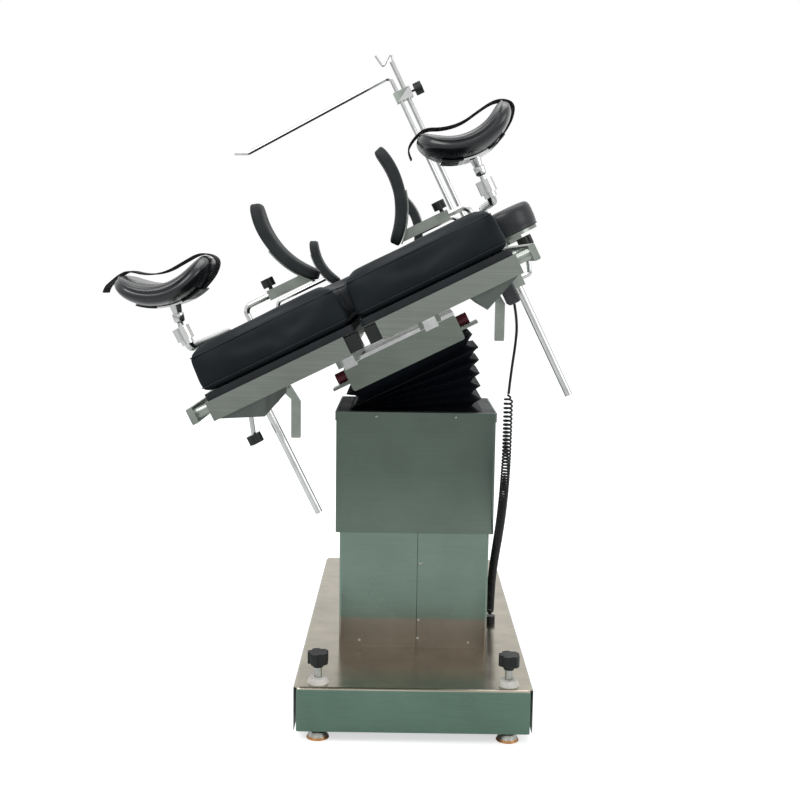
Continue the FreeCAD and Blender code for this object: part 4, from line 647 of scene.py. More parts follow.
ALONG_X = (10, 900, 900)
LEVEL_GRAIN = (14, 14, 1100)
LOOKS = {
    # Lower cover: neutral steel tinted green as a painted reflection, browner near its bottom as a painted reflection
    # of the base top.
    "lower_cover": painted_reflection_by_height(
        brushed("LowerCoverPaintedReflection", (1.0, 1.0, 1.0), 0.26, LEVEL_GRAIN, 1.0, 0.05),
        (0.205, 0.275, 0.232), (0.3, 0.265, 0.225), 0.188, 0.006),
    # Upper cover: green tint lighter towards its bottom, a painted reflection on neutral steel.
    "upper_cover": painted_reflection_by_height(
        brushed("UpperCoverPaintedReflection", (1.0, 1.0, 1.0), 0.33, LEVEL_GRAIN, 1.0, 0.05),
        (0.122, 0.16, 0.135), (0.155, 0.2, 0.172), 0.47, 0.06),
    # Base cover: a browner top and a greener skirt, both painted reflections on steel of one colour.
    "base_top_painted_reflection": brushed("BaseTopPaintedReflection", (0.42, 0.385, 0.31), 0.22, LEVEL_GRAIN, 1.0, 0.05),
    "base_skirt_painted_reflection": brushed(
        "BaseSkirtPaintedReflection", (0.15, 0.235, 0.188), 0.3, (12, 12, 1100), 1.0, 0.05),
    "frame_alloy": brushed("FrameAlloy", (0.24, 0.26, 0.235), 0.3, ALONG_X, 1.0, 0.05),
    # Darker steel for the leg frames' gussets: painted shade under the end bars.
    "gusset_painted_shade": cast("GussetPaintedShade", (0.1, 0.115, 0.105), 0.42, 0.8),
    "board": leather("BoardEdge", (0.012, 0.014, 0.016), 0.6, 0.2, 500.0, 0.15),
    "head_steel": brushed("HeadSteel", (0.2, 0.23, 0.2), 0.18, ALONG_X, 1.0, 0.04),
    "inner_steel": cast("InnerSteel", (0.12, 0.14, 0.13), 0.5, 0.7),
    "green_paint": cast("GreenPaint", (0.02, 0.045, 0.036), 0.4, 0.1, 300.0, 0.1),
    "frame_paint": cast("FramePaint", (0.05, 0.055, 0.055), 0.5, 0.2, 300.0, 0.1),
    "chrome": chrome("Chrome"),
    "clamp": cast("ClampSteel", (0.3, 0.33, 0.3), 0.32, 1.0, 380.0, 0.1),
    "zinc": cast("ZincSteel", (0.42, 0.43, 0.4), 0.32, 1.0, 500.0, 0.1),
    "brass": cast("FootBrass", (0.45, 0.22, 0.08), 0.4, 0.8, 400.0, 0.1),
    "cushion": leather("CushionCloth", (0.006, 0.0085, 0.0105), 0.62, 0.13),
    "crutch": leather("CrutchSkin", (0.006, 0.007, 0.009), 0.24, 0.55, 900.0, 0.06),
    "arm_skin": leather("ArmPadSkin", (0.01, 0.011, 0.014), 0.34, 0.4, 800.0, 0.1),
    "foam": moulded("SupportSkin", (0.012, 0.015, 0.016), 0.6, 0.3, 700.0, 0.25),
    "knob": moulded("KnobPlastic", (0.007, 0.008, 0.008), 0.42, 0.35),
    "washer": moulded("WasherPlastic", (0.62, 0.6, 0.55), 0.45, 0.4, 500.0, 0.1),
    "handset": moulded("HandsetPlastic", (0.03, 0.033, 0.036), 0.45, 0.4),
    "bellows": moulded("BellowsRubber", (0.0025, 0.004, 0.0065), 0.6, 0.15, 350.0, 0.2),
    "buffer": moulded("BufferRubber", (0.09, 0.012, 0.02), 0.5, 0.35, 500.0, 0.2),
    "cord": moulded("CordSheath", (0.005, 0.005, 0.006), 0.42, 0.35, 900.0, 0.1),
    "strap": webbing("StrapWeb", (0.006, 0.0065, 0.007)),
    "thread": leather("SeamCord", (0.006, 0.008, 0.01), 0.5, 0.25, 1400.0, 0.3),
    "screw": chrome("ScrewHead", (0.5, 0.5, 0.47), 0.25),
}


def paint(obj, *names):
    obj.data.materials.clear()
    for name in names:
        obj.data.materials.append(LOOKS[name].material)


def finish_piece(obj, body, slot, look=None):
    if look is not None:
        paint(obj, look)
    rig.ride(obj, body)
    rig.slot(obj, slot)


# CAD nodes that are shown, with looks that differ by place
def rounded_shading(mesh, angle):
    mesh.shade_smooth()
    mesh.set_sharp_from_angle(angle=math.radians(angle))


def dress_node(name, looks, rule=None, level=False):
    """Gives a CAD node its looks. The rule picks one for a face from its middle, in millimetres,
    in the level table top's own frame where level is set."""
    obj = frame["nodes"][name]
    paint(obj, *looks)
    back = TABLE.inverted() if level else Matrix.Translation(-COLUMN)
    turned = back.to_3x3()
    for polygon in obj.data.polygons:
        index = 0
        if rule is not None:
            index = rule(back @ polygon.center * 1000, turned @ polygon.normal)
        polygon.material_index = index
    rounded_shading(obj.data, 32)


def on_jack(place, normal):
    if place.z < 5:
        return 1
    return 2 if place.z > 150 else 0


def on_covers(place, normal):
    return 1 if place.z < 153 and place.x > 172 else 0


def on_frame(place, normal):
    """Boards above the frame, bright steel rails beside it, gussets below in a darker steel that is painted shade, and
    latch blocks below.
    """
    # Gussets under the foot end take the darker painted-shade steel.
    if place.z < 185.5 and place.y < -600:
        return 3
    if abs(place.x) < 25.5 and place.y < -880 and place.z < 214:
        return 4
    if place.z > 216.2 and abs(place.x) < 251 and normal.z < 0.9:
        return 1
    return 2 if abs(place.x) > 251.5 else 0


def dress_all():
    # Upward faces of the base cover take the top's painted reflection, the other faces the skirt's.
    dress_node("base_cover", ["base_skirt_painted_reflection", "base_top_painted_reflection"], lambda p, n: int(n.z > 0.3))
    dress_node("base_frame", ["frame_paint"])
    for name in ("foot_left", "foot_right", "head_left", "head_right"):
        dress_node(f"floor_lock_{name}", ["zinc", "brass", "knob"], on_jack)
    dress_node("floor_lock_washers", ["washer"])
    dress_node("column_lower_covers", ["lower_cover", "knob"], on_covers)
    dress_node("column_upper_cover", ["upper_cover"])
    dress_node("lift_ram", ["frame_paint"])
    dress_node("cardan_cross", ["inner_steel"])
    dress_node("head_box", ["head_steel", "green_paint", "chrome"], on_head, level=True)
    dress_node("end_buffers", ["buffer", "clamp"], on_buffer, level=True)
    for name in ("seat_frame", "leg_frame_left", "leg_frame_right", "back_frame", "headrest_frame"):
        dress_node(
            name, ["frame_alloy", "board", "clamp", "gusset_painted_shade", "knob"], on_frame, level=True)
    for side in ("left", "right"):
        dress_node(f"leg_bracket_{side}", ["clamp"], level=True)
        dress_node(f"leg_release_lever_{side}", ["clamp"], level=True)
        dress_node(f"crutch_rod_{side}", ["chrome"], level=True)
        dress_node(f"crutch_lock_{side}", ["chrome", "knob"], on_crutch_lock, level=True)
        dress_node(f"side_support_post_{side}", ["chrome"], level=True)
        dress_node(f"side_support_carrier_{side}", ["clamp"], level=True)
        dress_node(f"side_support_knob_{side}", ["knob", "chrome"], level=True)
        dress_node(f"shoulder_support_{side}", ["chrome"], level=True)
    dress_node("crutch_clamps", ["clamp"], level=True)
    dress_node("back_rail_clamps", ["clamp", "knob"], on_rail_clamp, level=True)
    dress_node("screen_post", ["chrome", "clamp"], on_screen, level=True)
    dress_node("screen_bar", ["chrome"], level=True)
    dress_node("screen_knob", ["knob"], level=True)
    dress_node("arm_board_bracket", ["clamp", "knob"], on_rail_clamp, level=True)
    dress_node("arm_board", ["frame_alloy"], level=True)
    dress_node("handset", ["handset", "clamp"], on_handset, level=True)


def on_head(place, normal):
    if place.z > 122.5:
        return 2
    return 1 if normal.z < -0.5 else 0


def on_buffer(place, normal):
    return 0 if 84 < place.z < 118 and abs(place.y + 108) < 14 and (
        place.x < -124 or place.x > 152) else 1


def on_crutch_lock(place, normal):
    reach = abs(place.x) - 309 - 38
    return 1 if abs(reach) < 18 and abs(place.y + 240) < 18 and (
        abs(place.z - 139) > 48) else 0


def on_rail_clamp(place, normal):
    """The knobs stand in front of the clamps, below their jaws."""
    for spot in (105, 715, 316, 392):
        if spot - 47 < place.y < spot - 17.5 and place.z < 196 and abs(place.x) > 270:
            return 1
    return 0


def on_screen(place, normal):
    return 1 if abs(place.z - 654) < 13.5 and abs(place.x - 290) > 6.5 else 0


def on_handset(place, normal):
    return 1 if place.z > 190 or place.x > 280 else 0


dress_all()


# Cushions, swollen by a pressure simulation
VOXEL = 0.006
HELD_BAND = 0.004
PRESSURE = 3.0
LARGEST_SWELL = 0.006
SWELL_FRAMES = 20
CLOTH_INSET = 0.0025
SEAT_CLEARANCE = 0.0003
CUSHION_EDGE = 0.012
SEAM_CORNER = 0.016
SEAM_HEIGHTS = (283.5, 236.5)
SEAM_RADIUS = 0.9 / 1000


def rounded_box(low, high, radius):
    """A closed box with round edges, in metres."""
    made = bmesh.new()
    bmesh.ops.create_cube(made, size=1.0)
    size = [b - a for a, b in zip(low, high)]
    middle = [(a + b) / 2 for a, b in zip(low, high)]
    for vertex in made.verts:
        vertex.co = Vector([c * s + m for c, s, m in zip(vertex.co, size, middle)])
    bmesh.ops.bevel(
        made, geom=list(made.edges), offset=radius, segments=3, affect="EDGES", profile=0.5)
    return made


def apply_modifiers(obj):
    depsgraph = bpy.context.evaluated_depsgraph_get()
    depsgraph.update()
    mesh = bpy.data.meshes.new_from_object(obj.evaluated_get(depsgraph))
    obj.modifiers.clear()
    old = obj.data
    obj.data = mesh
    bpy.data.meshes.remove(old)


def swollen(obj, floor):
    """Remeshes a closed mesh, blows it up a little, and holds its underside flat."""
    remesh = obj.modifiers.new("Even", "REMESH")
    remesh.mode = "VOXEL"
    remesh.voxel_size = VOXEL
    apply_modifiers(obj)
    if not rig.quick():
        start = [vertex.co.copy() for vertex in obj.data.vertices]
        held = obj.vertex_groups.new(name="Held")
        held.add(
            [i for i, spot in enumerate(start) if spot.z < floor + HELD_BAND], 1.0, "REPLACE")
        cloth = obj.modifiers.new("Swell", "CLOTH")
        settings = cloth.settings
        settings.quality = 5
        settings.mass = 0.3
        settings.use_pressure = True
        settings.uniform_pressure_force = PRESSURE
        settings.tension_stiffness = 30
        settings.compression_stiffness = 30
        settings.shear_stiffness = 12
        settings.bending_stiffness = 1.5
        settings.vertex_group_mass = "Held"
        settings.effector_weights.gravity = 0
        cloth.collision_settings.use_collision = False
        scene = bpy.context.scene
        for step in range(1, SWELL_FRAMES + 1):
            scene.frame_set(step)
        depsgraph = bpy.context.evaluated_depsgraph_get()
        mesh = bpy.data.meshes.new_from_object(obj.evaluated_get(depsgraph))
        obj.modifiers.clear()
        for vertex, spot in zip(mesh.vertices, start):
            move = vertex.co - spot
            if move.length > LARGEST_SWELL:
                move = move.normalized() * LARGEST_SWELL
            vertex.co = spot + move
        obj.data = mesh
        scene.frame_set(1)
    for vertex in obj.data.vertices:
        vertex.co.z = max(vertex.co.z, floor)


def smoothed(obj):
    """One level of subdivision, applied."""
    fine = obj.modifiers.new("Fine", "SUBSURF")
    fine.levels = 1
    fine.render_levels = 1
    apply_modifiers(obj)


def ruffle(obj, wave):
    """Moves each point along its normal by a wave of its place, with all normals read first."""
    normals = [vertex.normal.copy() for vertex in obj.data.vertices]
    spots = [vertex.co.copy() for vertex in obj.data.vertices]
    flat = []
    for spot, normal in zip(spots, normals):
        flat.extend(spot + normal * wave(spot))
    obj.data.vertices.foreach_set("co", flat)
    obj.data.update()


def ripples(spot):
    broad = noise.noise(Vector((spot.x * 5.5, spot.y * 4.5, spot.z * 9)))
    crease = noise.noise(Vector((spot.x * 26, spot.y * 9, 4.0 + spot.z * 20)))
    return (0.0012 * broad + 0.0005 * crease) * (spot.z > 0.236)


def seam_line(tree, low, high, height):
    """A closed line round a cushion's sides at one height, laid on its surface."""
    middle = ((low[0] + high[0]) / 2, (low[1] + high[1]) / 2)
    outline = rounded_outline(
        (high[0] - low[0]) / 2, (high[1] - low[1]) / 2, SEAM_CORNER, 6)
    ring = [(middle[0] + x, middle[1] + y) for x, y in outline]
    dense = []
    for (x0, y0), (x1, y1) in zip(ring, ring[1:] + ring[:1]):
        parts = max(1, round(math.hypot(x1 - x0, y1 - y0) / 0.012))
        for k in range(parts):
            share = k / parts
            dense.append((x0 + (x1 - x0) * share, y0 + (y1 - y0) * share))
    line = []
    for index, (x, y) in enumerate(dense):
        before = dense[index - 1]
        after = dense[(index + 1) % len(dense)]
        heading = Vector((after[0] - before[0], after[1] - before[1], 0)).normalized()
        outward = Vector((heading.y, -heading.x, 0))
        if outward.dot(Vector((x - middle[0], y - middle[1], 0))) < 0:
            outward = -outward
        start = Vector((x, y, height)) + outward * 0.03
        hit, _, _, _ = tree.ray_cast(start, -outward, 0.06)
        line.append(hit if hit is not None else Vector((x, y, height)))
    return line


def cushion(name, node, body, left, foot, right, head):
    """One upholstered cushion, drawn level in millimetres and placed on the tilted table."""
    low = (
        left / 1000 + CLOTH_INSET, foot / 1000 + CLOTH_INSET,
        CUSHION_BOTTOM / 1000 + SEAT_CLEARANCE,
    )
    high = (
        right / 1000 - CLOTH_INSET, head / 1000 - CLOTH_INSET, CUSHION_TOP / 1000 - CLOTH_INSET)
    mesh = built_mesh(name, rounded_box(low, high, CUSHION_EDGE))
    obj = link(bpy.data.objects.new(name, mesh))
    swollen(obj, low[2])
    tree = BVHTree.FromPolygons(
        [v.co.copy() for v in obj.data.vertices], [tuple(p.vertices) for p in obj.data.polygons])
    welts = [
        tube_rings(seam_line(tree, low, high, height / 1000), SEAM_RADIUS, 6, True)
        for height in SEAM_HEIGHTS
    ]
    soft = obj.modifiers.new("Smooth", "SMOOTH")
    soft.iterations = 4
    soft.factor = 0.5
    smoothed(obj)
    ruffle(obj, ripples)
    obj.data.transform(TABLE)
    obj.data.shade_smooth()
    finish_piece(obj, body, "upholstery", "cushion")
    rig.replaces(obj, node)
    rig.padded(obj, fill=0.85)
    seam = joined(f"{name}_seams", welts)
    seam.data.transform(TABLE)
    finish_piece(seam, body, "upholstery", "thread")


CUSHION_BOTTOM = 227.3
CUSHION_TOP = 293.3
cushion("cushion_seat", "seat_cushion", "table_top", -252, -437, 252, 37)
cushion("cushion_leg_left", "leg_cushion_left", "leg_plate_left", -252, -950, -3, -447)
cushion("cushion_leg_right", "leg_cushion_right", "leg_plate_right", 3, -950, 252, -447)
cushion("cushion_back", "back_cushion", "back_section", -252, 53, 252, 773)
cushion("cushion_headrest", "headrest_cushion", "headrest", -252, 797, 252, 1047)


# Rounded closed forms bent round an axis, for moulded pads
def power_box(count, power):
    """Points of a closed box form with softly rounded edges, each from -1 to 1 on three axes."""
    made = bmesh.new()
    bmesh.ops.create_cube(made, size=2.0)
    bmesh.ops.subdivide_edges(made, edges=list(made.edges), cuts=count, use_grid_fill=True)
    made.verts.ensure_lookup_table()
    points = []
    for vertex in made.verts:
        spot = Vector([math.sin(c * math.pi / 4) / math.sin(math.pi / 4) for c in vertex.co])
        size = sum(abs(c) ** power for c in spot) ** (1 / power)
        points.append(spot / size)
    faces = [tuple(v.index for v in face.verts) for face in made.faces]
    made.free()
    return points, faces


def bent_pad(name, count, power, place):
    """A closed form whose points are put in place by a function of three shares from -1 to 1."""
    points, faces = power_box(count, power)
    return mesh_object(name, [place(*point) for point in points], faces)


ARM_PAD_MIDDLE = (385, 477)
ARM_PAD_HALF = (70, 225)
ARM_PAD_CORNER = 67
ARM_PAD_LEVELS = [
    (216.6, -12), (217.0, -2), (219.5, -0.2), (223, -1.8), (227, -0.4), (240, 0.6), (258, 0.8),
    (268, 0.2), (275, -2.2), (279.5, -6), (282, -13), (283.6, -30), (284.2, -52),
]


def arm_pad():
    """The arm board's pad: round at its ends, with a tucked lower welt. Each level is a height and
    how far the outline stands out there."""
    half_x, half_y = ARM_PAD_HALF
    outline = rounded_outline(half_x, half_y, ARM_PAD_CORNER, 12)
    made = bmesh.new()
    rings = []
    for height, out in ARM_PAD_LEVELS:
        spread_x = (half_x + out) / half_x
        spread_y = (half_y + out) / half_y
        rings.append([
            made.verts.new(Vector((
                ARM_PAD_MIDDLE[0] + x * spread_x, ARM_PAD_MIDDLE[1] + y * spread_y, height)) / 1000)
            for x, y in outline
        ])
    bridge(made, rings)
    made.faces.new(rings[0][::-1])
    made.faces.new(rings[-1])
    bmesh.ops.recalc_face_normals(made, faces=list(made.faces))
    mesh = built_mesh("arm_pad", made)
    mesh.shade_smooth()
    mesh.transform(TABLE)
    obj = link(bpy.data.objects.new("arm_pad", mesh))
    finish_piece(obj, "arm_board", "upholstery", "arm_skin")
    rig.replaces(obj, "arm_board_pad")
    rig.padded(obj, fill=0.9)


arm_pad()


# Knee crutches: pad, plate with ball joint, and webbing strap
PAD_INNER = 0.070
PAD_OUTER = 0.112
PAD_MIDDLE = (PAD_INNER + PAD_OUTER) / 2
PAD_CENTRE = 0.052 + PAD_OUTER
PAD_HALF_SWEEP = math.radians(59)
PAD_HALF_LENGTH = 0.095
PAD_POWER = 3.4
PIPING_LEVEL = 0.30
PIPING_POINTS = 120
NECK_SIDES = 24
NECK_RINGS = [
    (0.004, 0.0062), (0.010, 0.0050), (0.018, 0.0050), (0.020, 0.0085), (0.0215, 0.0092),
    (0.0335, 0.0104), (0.0350, 0.0098), (0.0355, 0.0080), (0.0508, 0.0105),
]
BLACK_ABOVE = 0.052
PLATE_ROWS = 16
PLATE_COLUMNS = 6
STRAP_HALF_WIDTH = 0.019
STRAP_HALF_THICKNESS = 0.0013
STRAP_LIFT = 0.0022
STRAP_SAGS = {
    -1: ((0.036, 0.0455), (0.0, 0.0560), (-0.034, 0.0520)),
    1: ((0.036, 0.0430), (0.0, 0.0520), (-0.034, 0.0480)),
}
STRAP_TAILS = {
    -1: ((0.072, -59.0), (0.090, -62.5), (0.108, -62.5), (0.120, -62.5), (0.129, -60)),
    1: ((0.071, -59.0), (0.090, -62.5), (0.110, -62), (0.121, -59), (0.127, -54)),
}


def pad_place(x, y, z):
    """A place in the bent pad: along its arc, along its length and through its thickness."""
    angle = x * PAD_HALF_SWEEP
    swell = 1 - 0.10 * x * x
    thick = (PAD_OUTER - PAD_INNER) / 2 * swell
    dish = 0.004 * (1 - y * y) * max(0.0, -z)
    radius = PAD_MIDDLE + z * thick + dish
    crease = 0.0014 * math.exp(-((z + 0.10) / 0.09) ** 2)
    length = PAD_HALF_LENGTH * (1 - 0.05 * abs(x) ** 3) - (crease if abs(y) > 0.7 else 0)
    return Vector((radius * math.sin(angle), y * length, PAD_CENTRE - radius * math.cos(angle)))


def on_arc(radius, degrees, y=0):
    angle = math.radians(degrees)
    return Vector((radius * math.sin(angle), y, PAD_CENTRE - radius * math.cos(angle)))


def crutch_pad(side, name, placed):
    pad = bent_pad(f"crutch_pad_shell_{name}", 26, PAD_POWER, pad_place)
    ruffle(pad, lambda spot: 0.0010 * noise.noise(spot * 22 + Vector((side * 3, 0, 0))))
    smoothed(pad)
    pad.data.shade_smooth()
    pad.data.transform(placed)
    finish_piece(pad, f"crutch_rest_{name}", "moulded_pad", "crutch")
    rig.replaces(pad, f"crutch_pad_{name}")
    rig.padded(pad, fill=0.95)


def crutch_piping(name, placed):
    """Piping where the top skin meets the shell."""
    rim = (1 - PIPING_LEVEL ** PAD_POWER) ** (1 / PAD_POWER)
    line = []
    for k in range(PIPING_POINTS):
        angle = 2 * math.pi * k / PIPING_POINTS
        cx, cy = math.cos(angle), math.sin(angle)
        size = (abs(cx) ** PAD_POWER + abs(cy) ** PAD_POWER) ** (1 / PAD_POWER)
        line.append(pad_place(cx / size * rim, cy / size * rim, -PIPING_LEVEL))
    piping = tube(f"crutch_piping_{name}", line, 0.0017, 8, True)
    piping.data.transform(placed)
    finish_piece(piping, f"crutch_rest_{name}", "moulded_pad", "crutch")


def crutch_neck(made):
    """The ball and the turned neck above it."""
    bmesh.ops.create_uvsphere(made, u_segments=NECK_SIDES, v_segments=14, radius=0.009)
    loops = []
    for height, radius in NECK_RINGS:
        loop = []
        for k in range(NECK_SIDES):
            angle = 2 * math.pi * k / NECK_SIDES
            loop.append(made.verts.new(
                Vector((radius * math.cos(angle), radius * math.sin(angle), height))))
        loops.append(loop)
    bridge(made, loops)


def crutch_plate_sheet(made):
    """The curved plate under the pad, as a closed sheet."""
    grid = []
    for i in range(PLATE_ROWS + 1):
        row = []
        for j in range(PLATE_COLUMNS + 1):
            y = -0.045 + 0.09 * j / PLATE_COLUMNS
            row.append([
                made.verts.new(on_arc(PAD_OUTER + out, -30 + 60 * i / PLATE_ROWS, y))
                for out in (0.0004, 0.0032)
            ])
        grid.append(row)
    for i in range(PLATE_ROWS):
        for j in range(PLATE_COLUMNS):
            a, b, c, d = grid[i][j], grid[i + 1][j], grid[i + 1][j + 1], grid[i][j + 1]
            made.faces.new((a[0], b[0], c[0], d[0]))
            made.faces.new((a[1], d[1], c[1], b[1]))
    edges = [(grid[i][j], grid[i + 1][j]) for i in range(PLATE_ROWS) for j in (0, PLATE_COLUMNS)]
    edges += [(grid[i][j], grid[i][j + 1]) for j in range(PLATE_COLUMNS) for i in (0, PLATE_ROWS)]
    for a, b in edges:
        made.faces.new((a[0], a[1], b[1], b[0]))


def crutch_plate(name, placed):
    made = bmesh.new()
    crutch_neck(made)
    crutch_plate_sheet(made)
    bmesh.ops.recalc_face_normals(made, faces=list(made.faces))
    mesh = built_mesh(f"crutch_plate_{name}", made)
    rounded_shading(mesh, 40)
    high = [polygon.center.z > BLACK_ABOVE for polygon in mesh.polygons]
    mesh.transform(placed)
    plate = link(bpy.data.objects.new(f"crutch_plate_{name}", mesh))
    paint(plate, "chrome", "knob")
    for polygon, black in zip(mesh.polygons, high):
        polygon.material_index = int(black)
    finish_piece(plate, f"crutch_rest_{name}", "bright_steel")


def crutch_strap(side, name, placed):
    """Strap over the trough, from under one rim to a free tail past the other."""
    route = [
        on_arc(PAD_OUTER + STRAP_LIFT, 22), on_arc(PAD_OUTER + STRAP_LIFT, 40),
        on_arc(PAD_OUTER + 0.001, 54), on_arc(0.107, 60.5), on_arc(0.090, 62.5),
        on_arc(0.073, 58.5),
    ]
    route += [Vector((x, 0, PAD_CENTRE - drop)) for x, drop in STRAP_SAGS[side]]
    route += [on_arc(radius, degrees) for radius, degrees in STRAP_TAILS[side]]
    route = spline_points(route, 12)
    half = STRAP_HALF_WIDTH
    thick = STRAP_HALF_THICKNESS
    last = len(route) - 1
    points = []
    for i, spot in enumerate(route):
        heading = (route[min(i + 1, last)] - route[max(i - 1, 0)]).normalized()
        out = Vector((-heading.z, 0, heading.x))
        share = i / last
        skew = 0.10 * math.sin(share * 9 + side)
        cross = Vector((0, 1, 0)) + heading * skew * 0.15
        wander = 0.004 * math.sin(share * 5.2 + side)
        for dy, dz in ((-half, -thick), (half, -thick), (half, thick), (-half, thick)):
            points.append(spot + cross * (dy + wander) + out * (dz + 0.0015 * skew * dy / half))
    faces = wall_faces(last + 1, 4)
    faces.append((3, 2, 1, 0))
    faces.append(tuple(last * 4 + k for k in range(4)))
    strap = mesh_object(f"crutch_strap_{name}", points, faces)
    strap.data.set_sharp_from_angle(angle=math.radians(50))
    strap.data.transform(placed)
    finish_piece(strap, f"crutch_rest_{name}", "moulded_pad", "strap")
    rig.replaces(strap, f"crutch_cradle_{name}")


def crutch_side(side, name, roll):
    spot = TABLE @ Matrix.Translation(Vector((side * 0.295 - 0.009, -0.615, 0.332)))
    placed = spot @ Matrix.Rotation(math.radians(roll), 4, "Y")
    crutch_pad(side, name, placed)
    crutch_piping(name, placed)
    crutch_plate(name, placed)
    crutch_strap(side, name, placed)


crutch_side(-1, "left", 12)
crutch_side(1, "right", 3)


# Hip and shoulder pads
def curved_pad(name, node, body, hub, inner, thick, y, width, start, sweep):
    hub = Vector((hub[0], 0, hub[1])) / 1000
    start = math.radians(start)
    sweep = math.radians(sweep)

    def place(a, b, c):
        angle = start + sweep * (a + 1) / 2
        radius = (inner + thick / 2 + c * thick / 2) / 1000
        return hub + Vector((
            radius * math.cos(angle), (y + b * width / 2) / 1000, radius * math.sin(angle)))

    pad = bent_pad(name, 22, 7.0, place)
    ruffle(pad, lambda spot: 0.0007 * noise.noise(spot * 17))
    pad.data.transform(TABLE)
    finish_piece(pad, body, "support_foam", "foam")
    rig.replaces(pad, node)
    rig.padded(pad, fill=1.0)


for name, hub, start in (("left", (35, 487), 162), ("right", (-35, 475), 311)):
    curved_pad(
        f"hip_pad_{name}", f"side_support_pad_{name}", f"side_pad_{name}",
        hub, 188, 29, 105, 110, start, 67)


def shoulder_pad(side, name, middle_u):
    half = 31
    lean = 5.7
    inner = 125
    thick = 25
    chord = (inner + thick / 2) * math.cos(math.radians(half))
    hub = (
        side * (middle_u - chord * math.cos(math.radians(lean))),
        374 + chord * math.sin(math.radians(lean)),
    )
    start = 180 + lean - half if side < 0 else -lean - half
    curved_pad(
        f"shoulder_foam_{name}", f"shoulder_pad_{name}", "back_section",
        hub, inner, thick, 715, 80, start, 2 * half)


shoulder_pad(-1, "left", 106)
shoulder_pad(1, "right", 166)


# Bellows
BELLOWS_CORNER = 0.012
BELLOWS_HALF_DEPTH = 0.112
RIM_INSET = 0.0005
PLEAT_DEPTH = 0.0205
PLEAT_SAG = 0.0022
BELLOWS_WALL = 0.0012
BELLOWS_LOW = COLUMN + Vector((0, 0, 0.6643))
BELLOWS_MIDDLE = 0.032
BELLOWS_TOP = 0.0637


def bellows_ring(left, right, inset, height):
    """A ring with round corners, counted the same for every fold."""
    middle = (right - left) / 2
    outline = rounded_outline(
        (left + right) / 2 - inset, BELLOWS_HALF_DEPTH - inset, BELLOWS_CORNER, 4)
    points = [Vector((middle + x, y, height)) for x, y in outline]
    dense = []
    for a, b in zip(points, points[1:] + points[:1]):
        parts = 1 if (b - a).length < 0.02 else 10
        for k in range(parts):
            dense.append(a.lerp(b, k / parts))
    return dense


def bellows(name, node, body_a, body_b, low_ring, high_ring, folds, start, end, seed):
    rings = []
    steps = folds * 6
    for step in range(steps + 1):
        share = step / steps
        phase = (share * folds) % 1.0
        peak = abs(2 * phase - 1)
        inset = RIM_INSET + PLEAT_DEPTH * (1 - peak ** 1.35)
        if step in (0, steps):
            inset = RIM_INSET
        low = low_ring(inset)
        high = high_ring(inset)
        ring = []
        for k, (a, b) in enumerate(zip(low, high)):
            spot = a.lerp(b, share)
            if 0 < step < steps:
                drift = noise.noise(Vector((k * 0.09, step * 0.35, seed)))
                spot.z -= PLEAT_SAG * (1 - peak) + PLEAT_SAG * drift
            ring.append(spot)
        rings.append(ring)
    points = [spot for ring in rings for spot in ring]
    obj = mesh_object(name, points, wall_faces(len(rings), len(rings[0])))
    solid = obj.modifiers.new("Wall", "SOLIDIFY")
    solid.thickness = BELLOWS_WALL
    solid.offset = -1
    apply_modifiers(obj)
    rounded_shading(obj.data, 75)
    paint(obj, "bellows")
    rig.blend(obj, body_a, body_b, start=start, end=end)
    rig.slot(obj, "bellows_rubber")
    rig.replaces(obj, node)


def column_ring(inset):
    return [BELLOWS_LOW + point for point in bellows_ring(0.150, 0.150, inset, 0)]


def middle_ring(inset):
    return [TABLE @ point for point in bellows_ring(0.145, 0.170, inset, BELLOWS_MIDDLE)]


def top_ring(inset):
    return [TABLE @ point for point in bellows_ring(0.145, 0.170, inset, BELLOWS_TOP)]


fold_start = tuple(BELLOWS_LOW)
fold_middle = tuple(TABLE @ Vector((0.0125, 0, BELLOWS_MIDDLE)))
fold_end = tuple(TABLE @ Vector((0.0125, 0, BELLOWS_TOP)))
bellows(
    "bellows_fold_low", "bellows_lower", "column_head", "tilt_cross", column_ring, middle_ring, 5,
    fold_start, fold_middle, 1.0)
bellows(
    "bellows_fold_high", "bellows_upper", "tilt_cross", "tilt_head", middle_ring, top_ring, 1,
    fold_middle, fold_end, 5.0)

# Cords on their bodies
paint(cord_coil, "cord")
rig.blend(cord_coil, "base", "column_head", start=tuple(GLAND), end=tuple(CORD_JOINT))
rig.slot(cord_coil, "cord_sheath")
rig.replaces(cord_coil, "handset_cord_coil")
paint(cord_lead, "cord")
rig.blend(cord_lead, "column_head", "tilt_cross", start=tuple(CORD_JOINT), end=tuple(CORD_TOP))
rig.slot(cord_lead, "cord_sheath")
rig.replaces(cord_lead, "handset_cord_lead")
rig.cord(cord_coil, **coil_spec)
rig.cord(cord_lead, **lead_spec)


# Small fasteners
def screw_head(centre, normal, radius, height):
    """A cross-recess pan head: a low dome with two crossed grooves."""
    made = bmesh.new()
    turn = normal.to_track_quat("Z", "Y").to_matrix().to_4x4()
    sides = 24
    loops = []
    for out, rise in ((1.0, 0.0), (1.0, 0.25), (0.92, 0.62), (0.72, 0.9), (0.45, 1.0), (0.2, 1.0)):
        loop = []
        for k in range(sides):
            angle = 2 * math.pi * k / sides
            x, y = out * radius * math.cos(angle), out * radius * math.sin(angle)
            groove = min(abs(x), abs(y)) < 0.16 * radius and math.hypot(x, y) < 0.62 * radius
            loop.append(made.verts.new(Vector((x, y, height * (0.45 if groove else rise)))))
        loops.append(loop)
    bridge(made, loops)
    made.faces.new(loops[-1])
    points = [centre + (turn @ vertex.co) for vertex in made.verts]
    made.verts.ensure_lookup_table()
    made.verts.index_update()
    faces = [tuple(v.index for v in face.verts) for face in made.faces]
    made.free()
    return points, faces


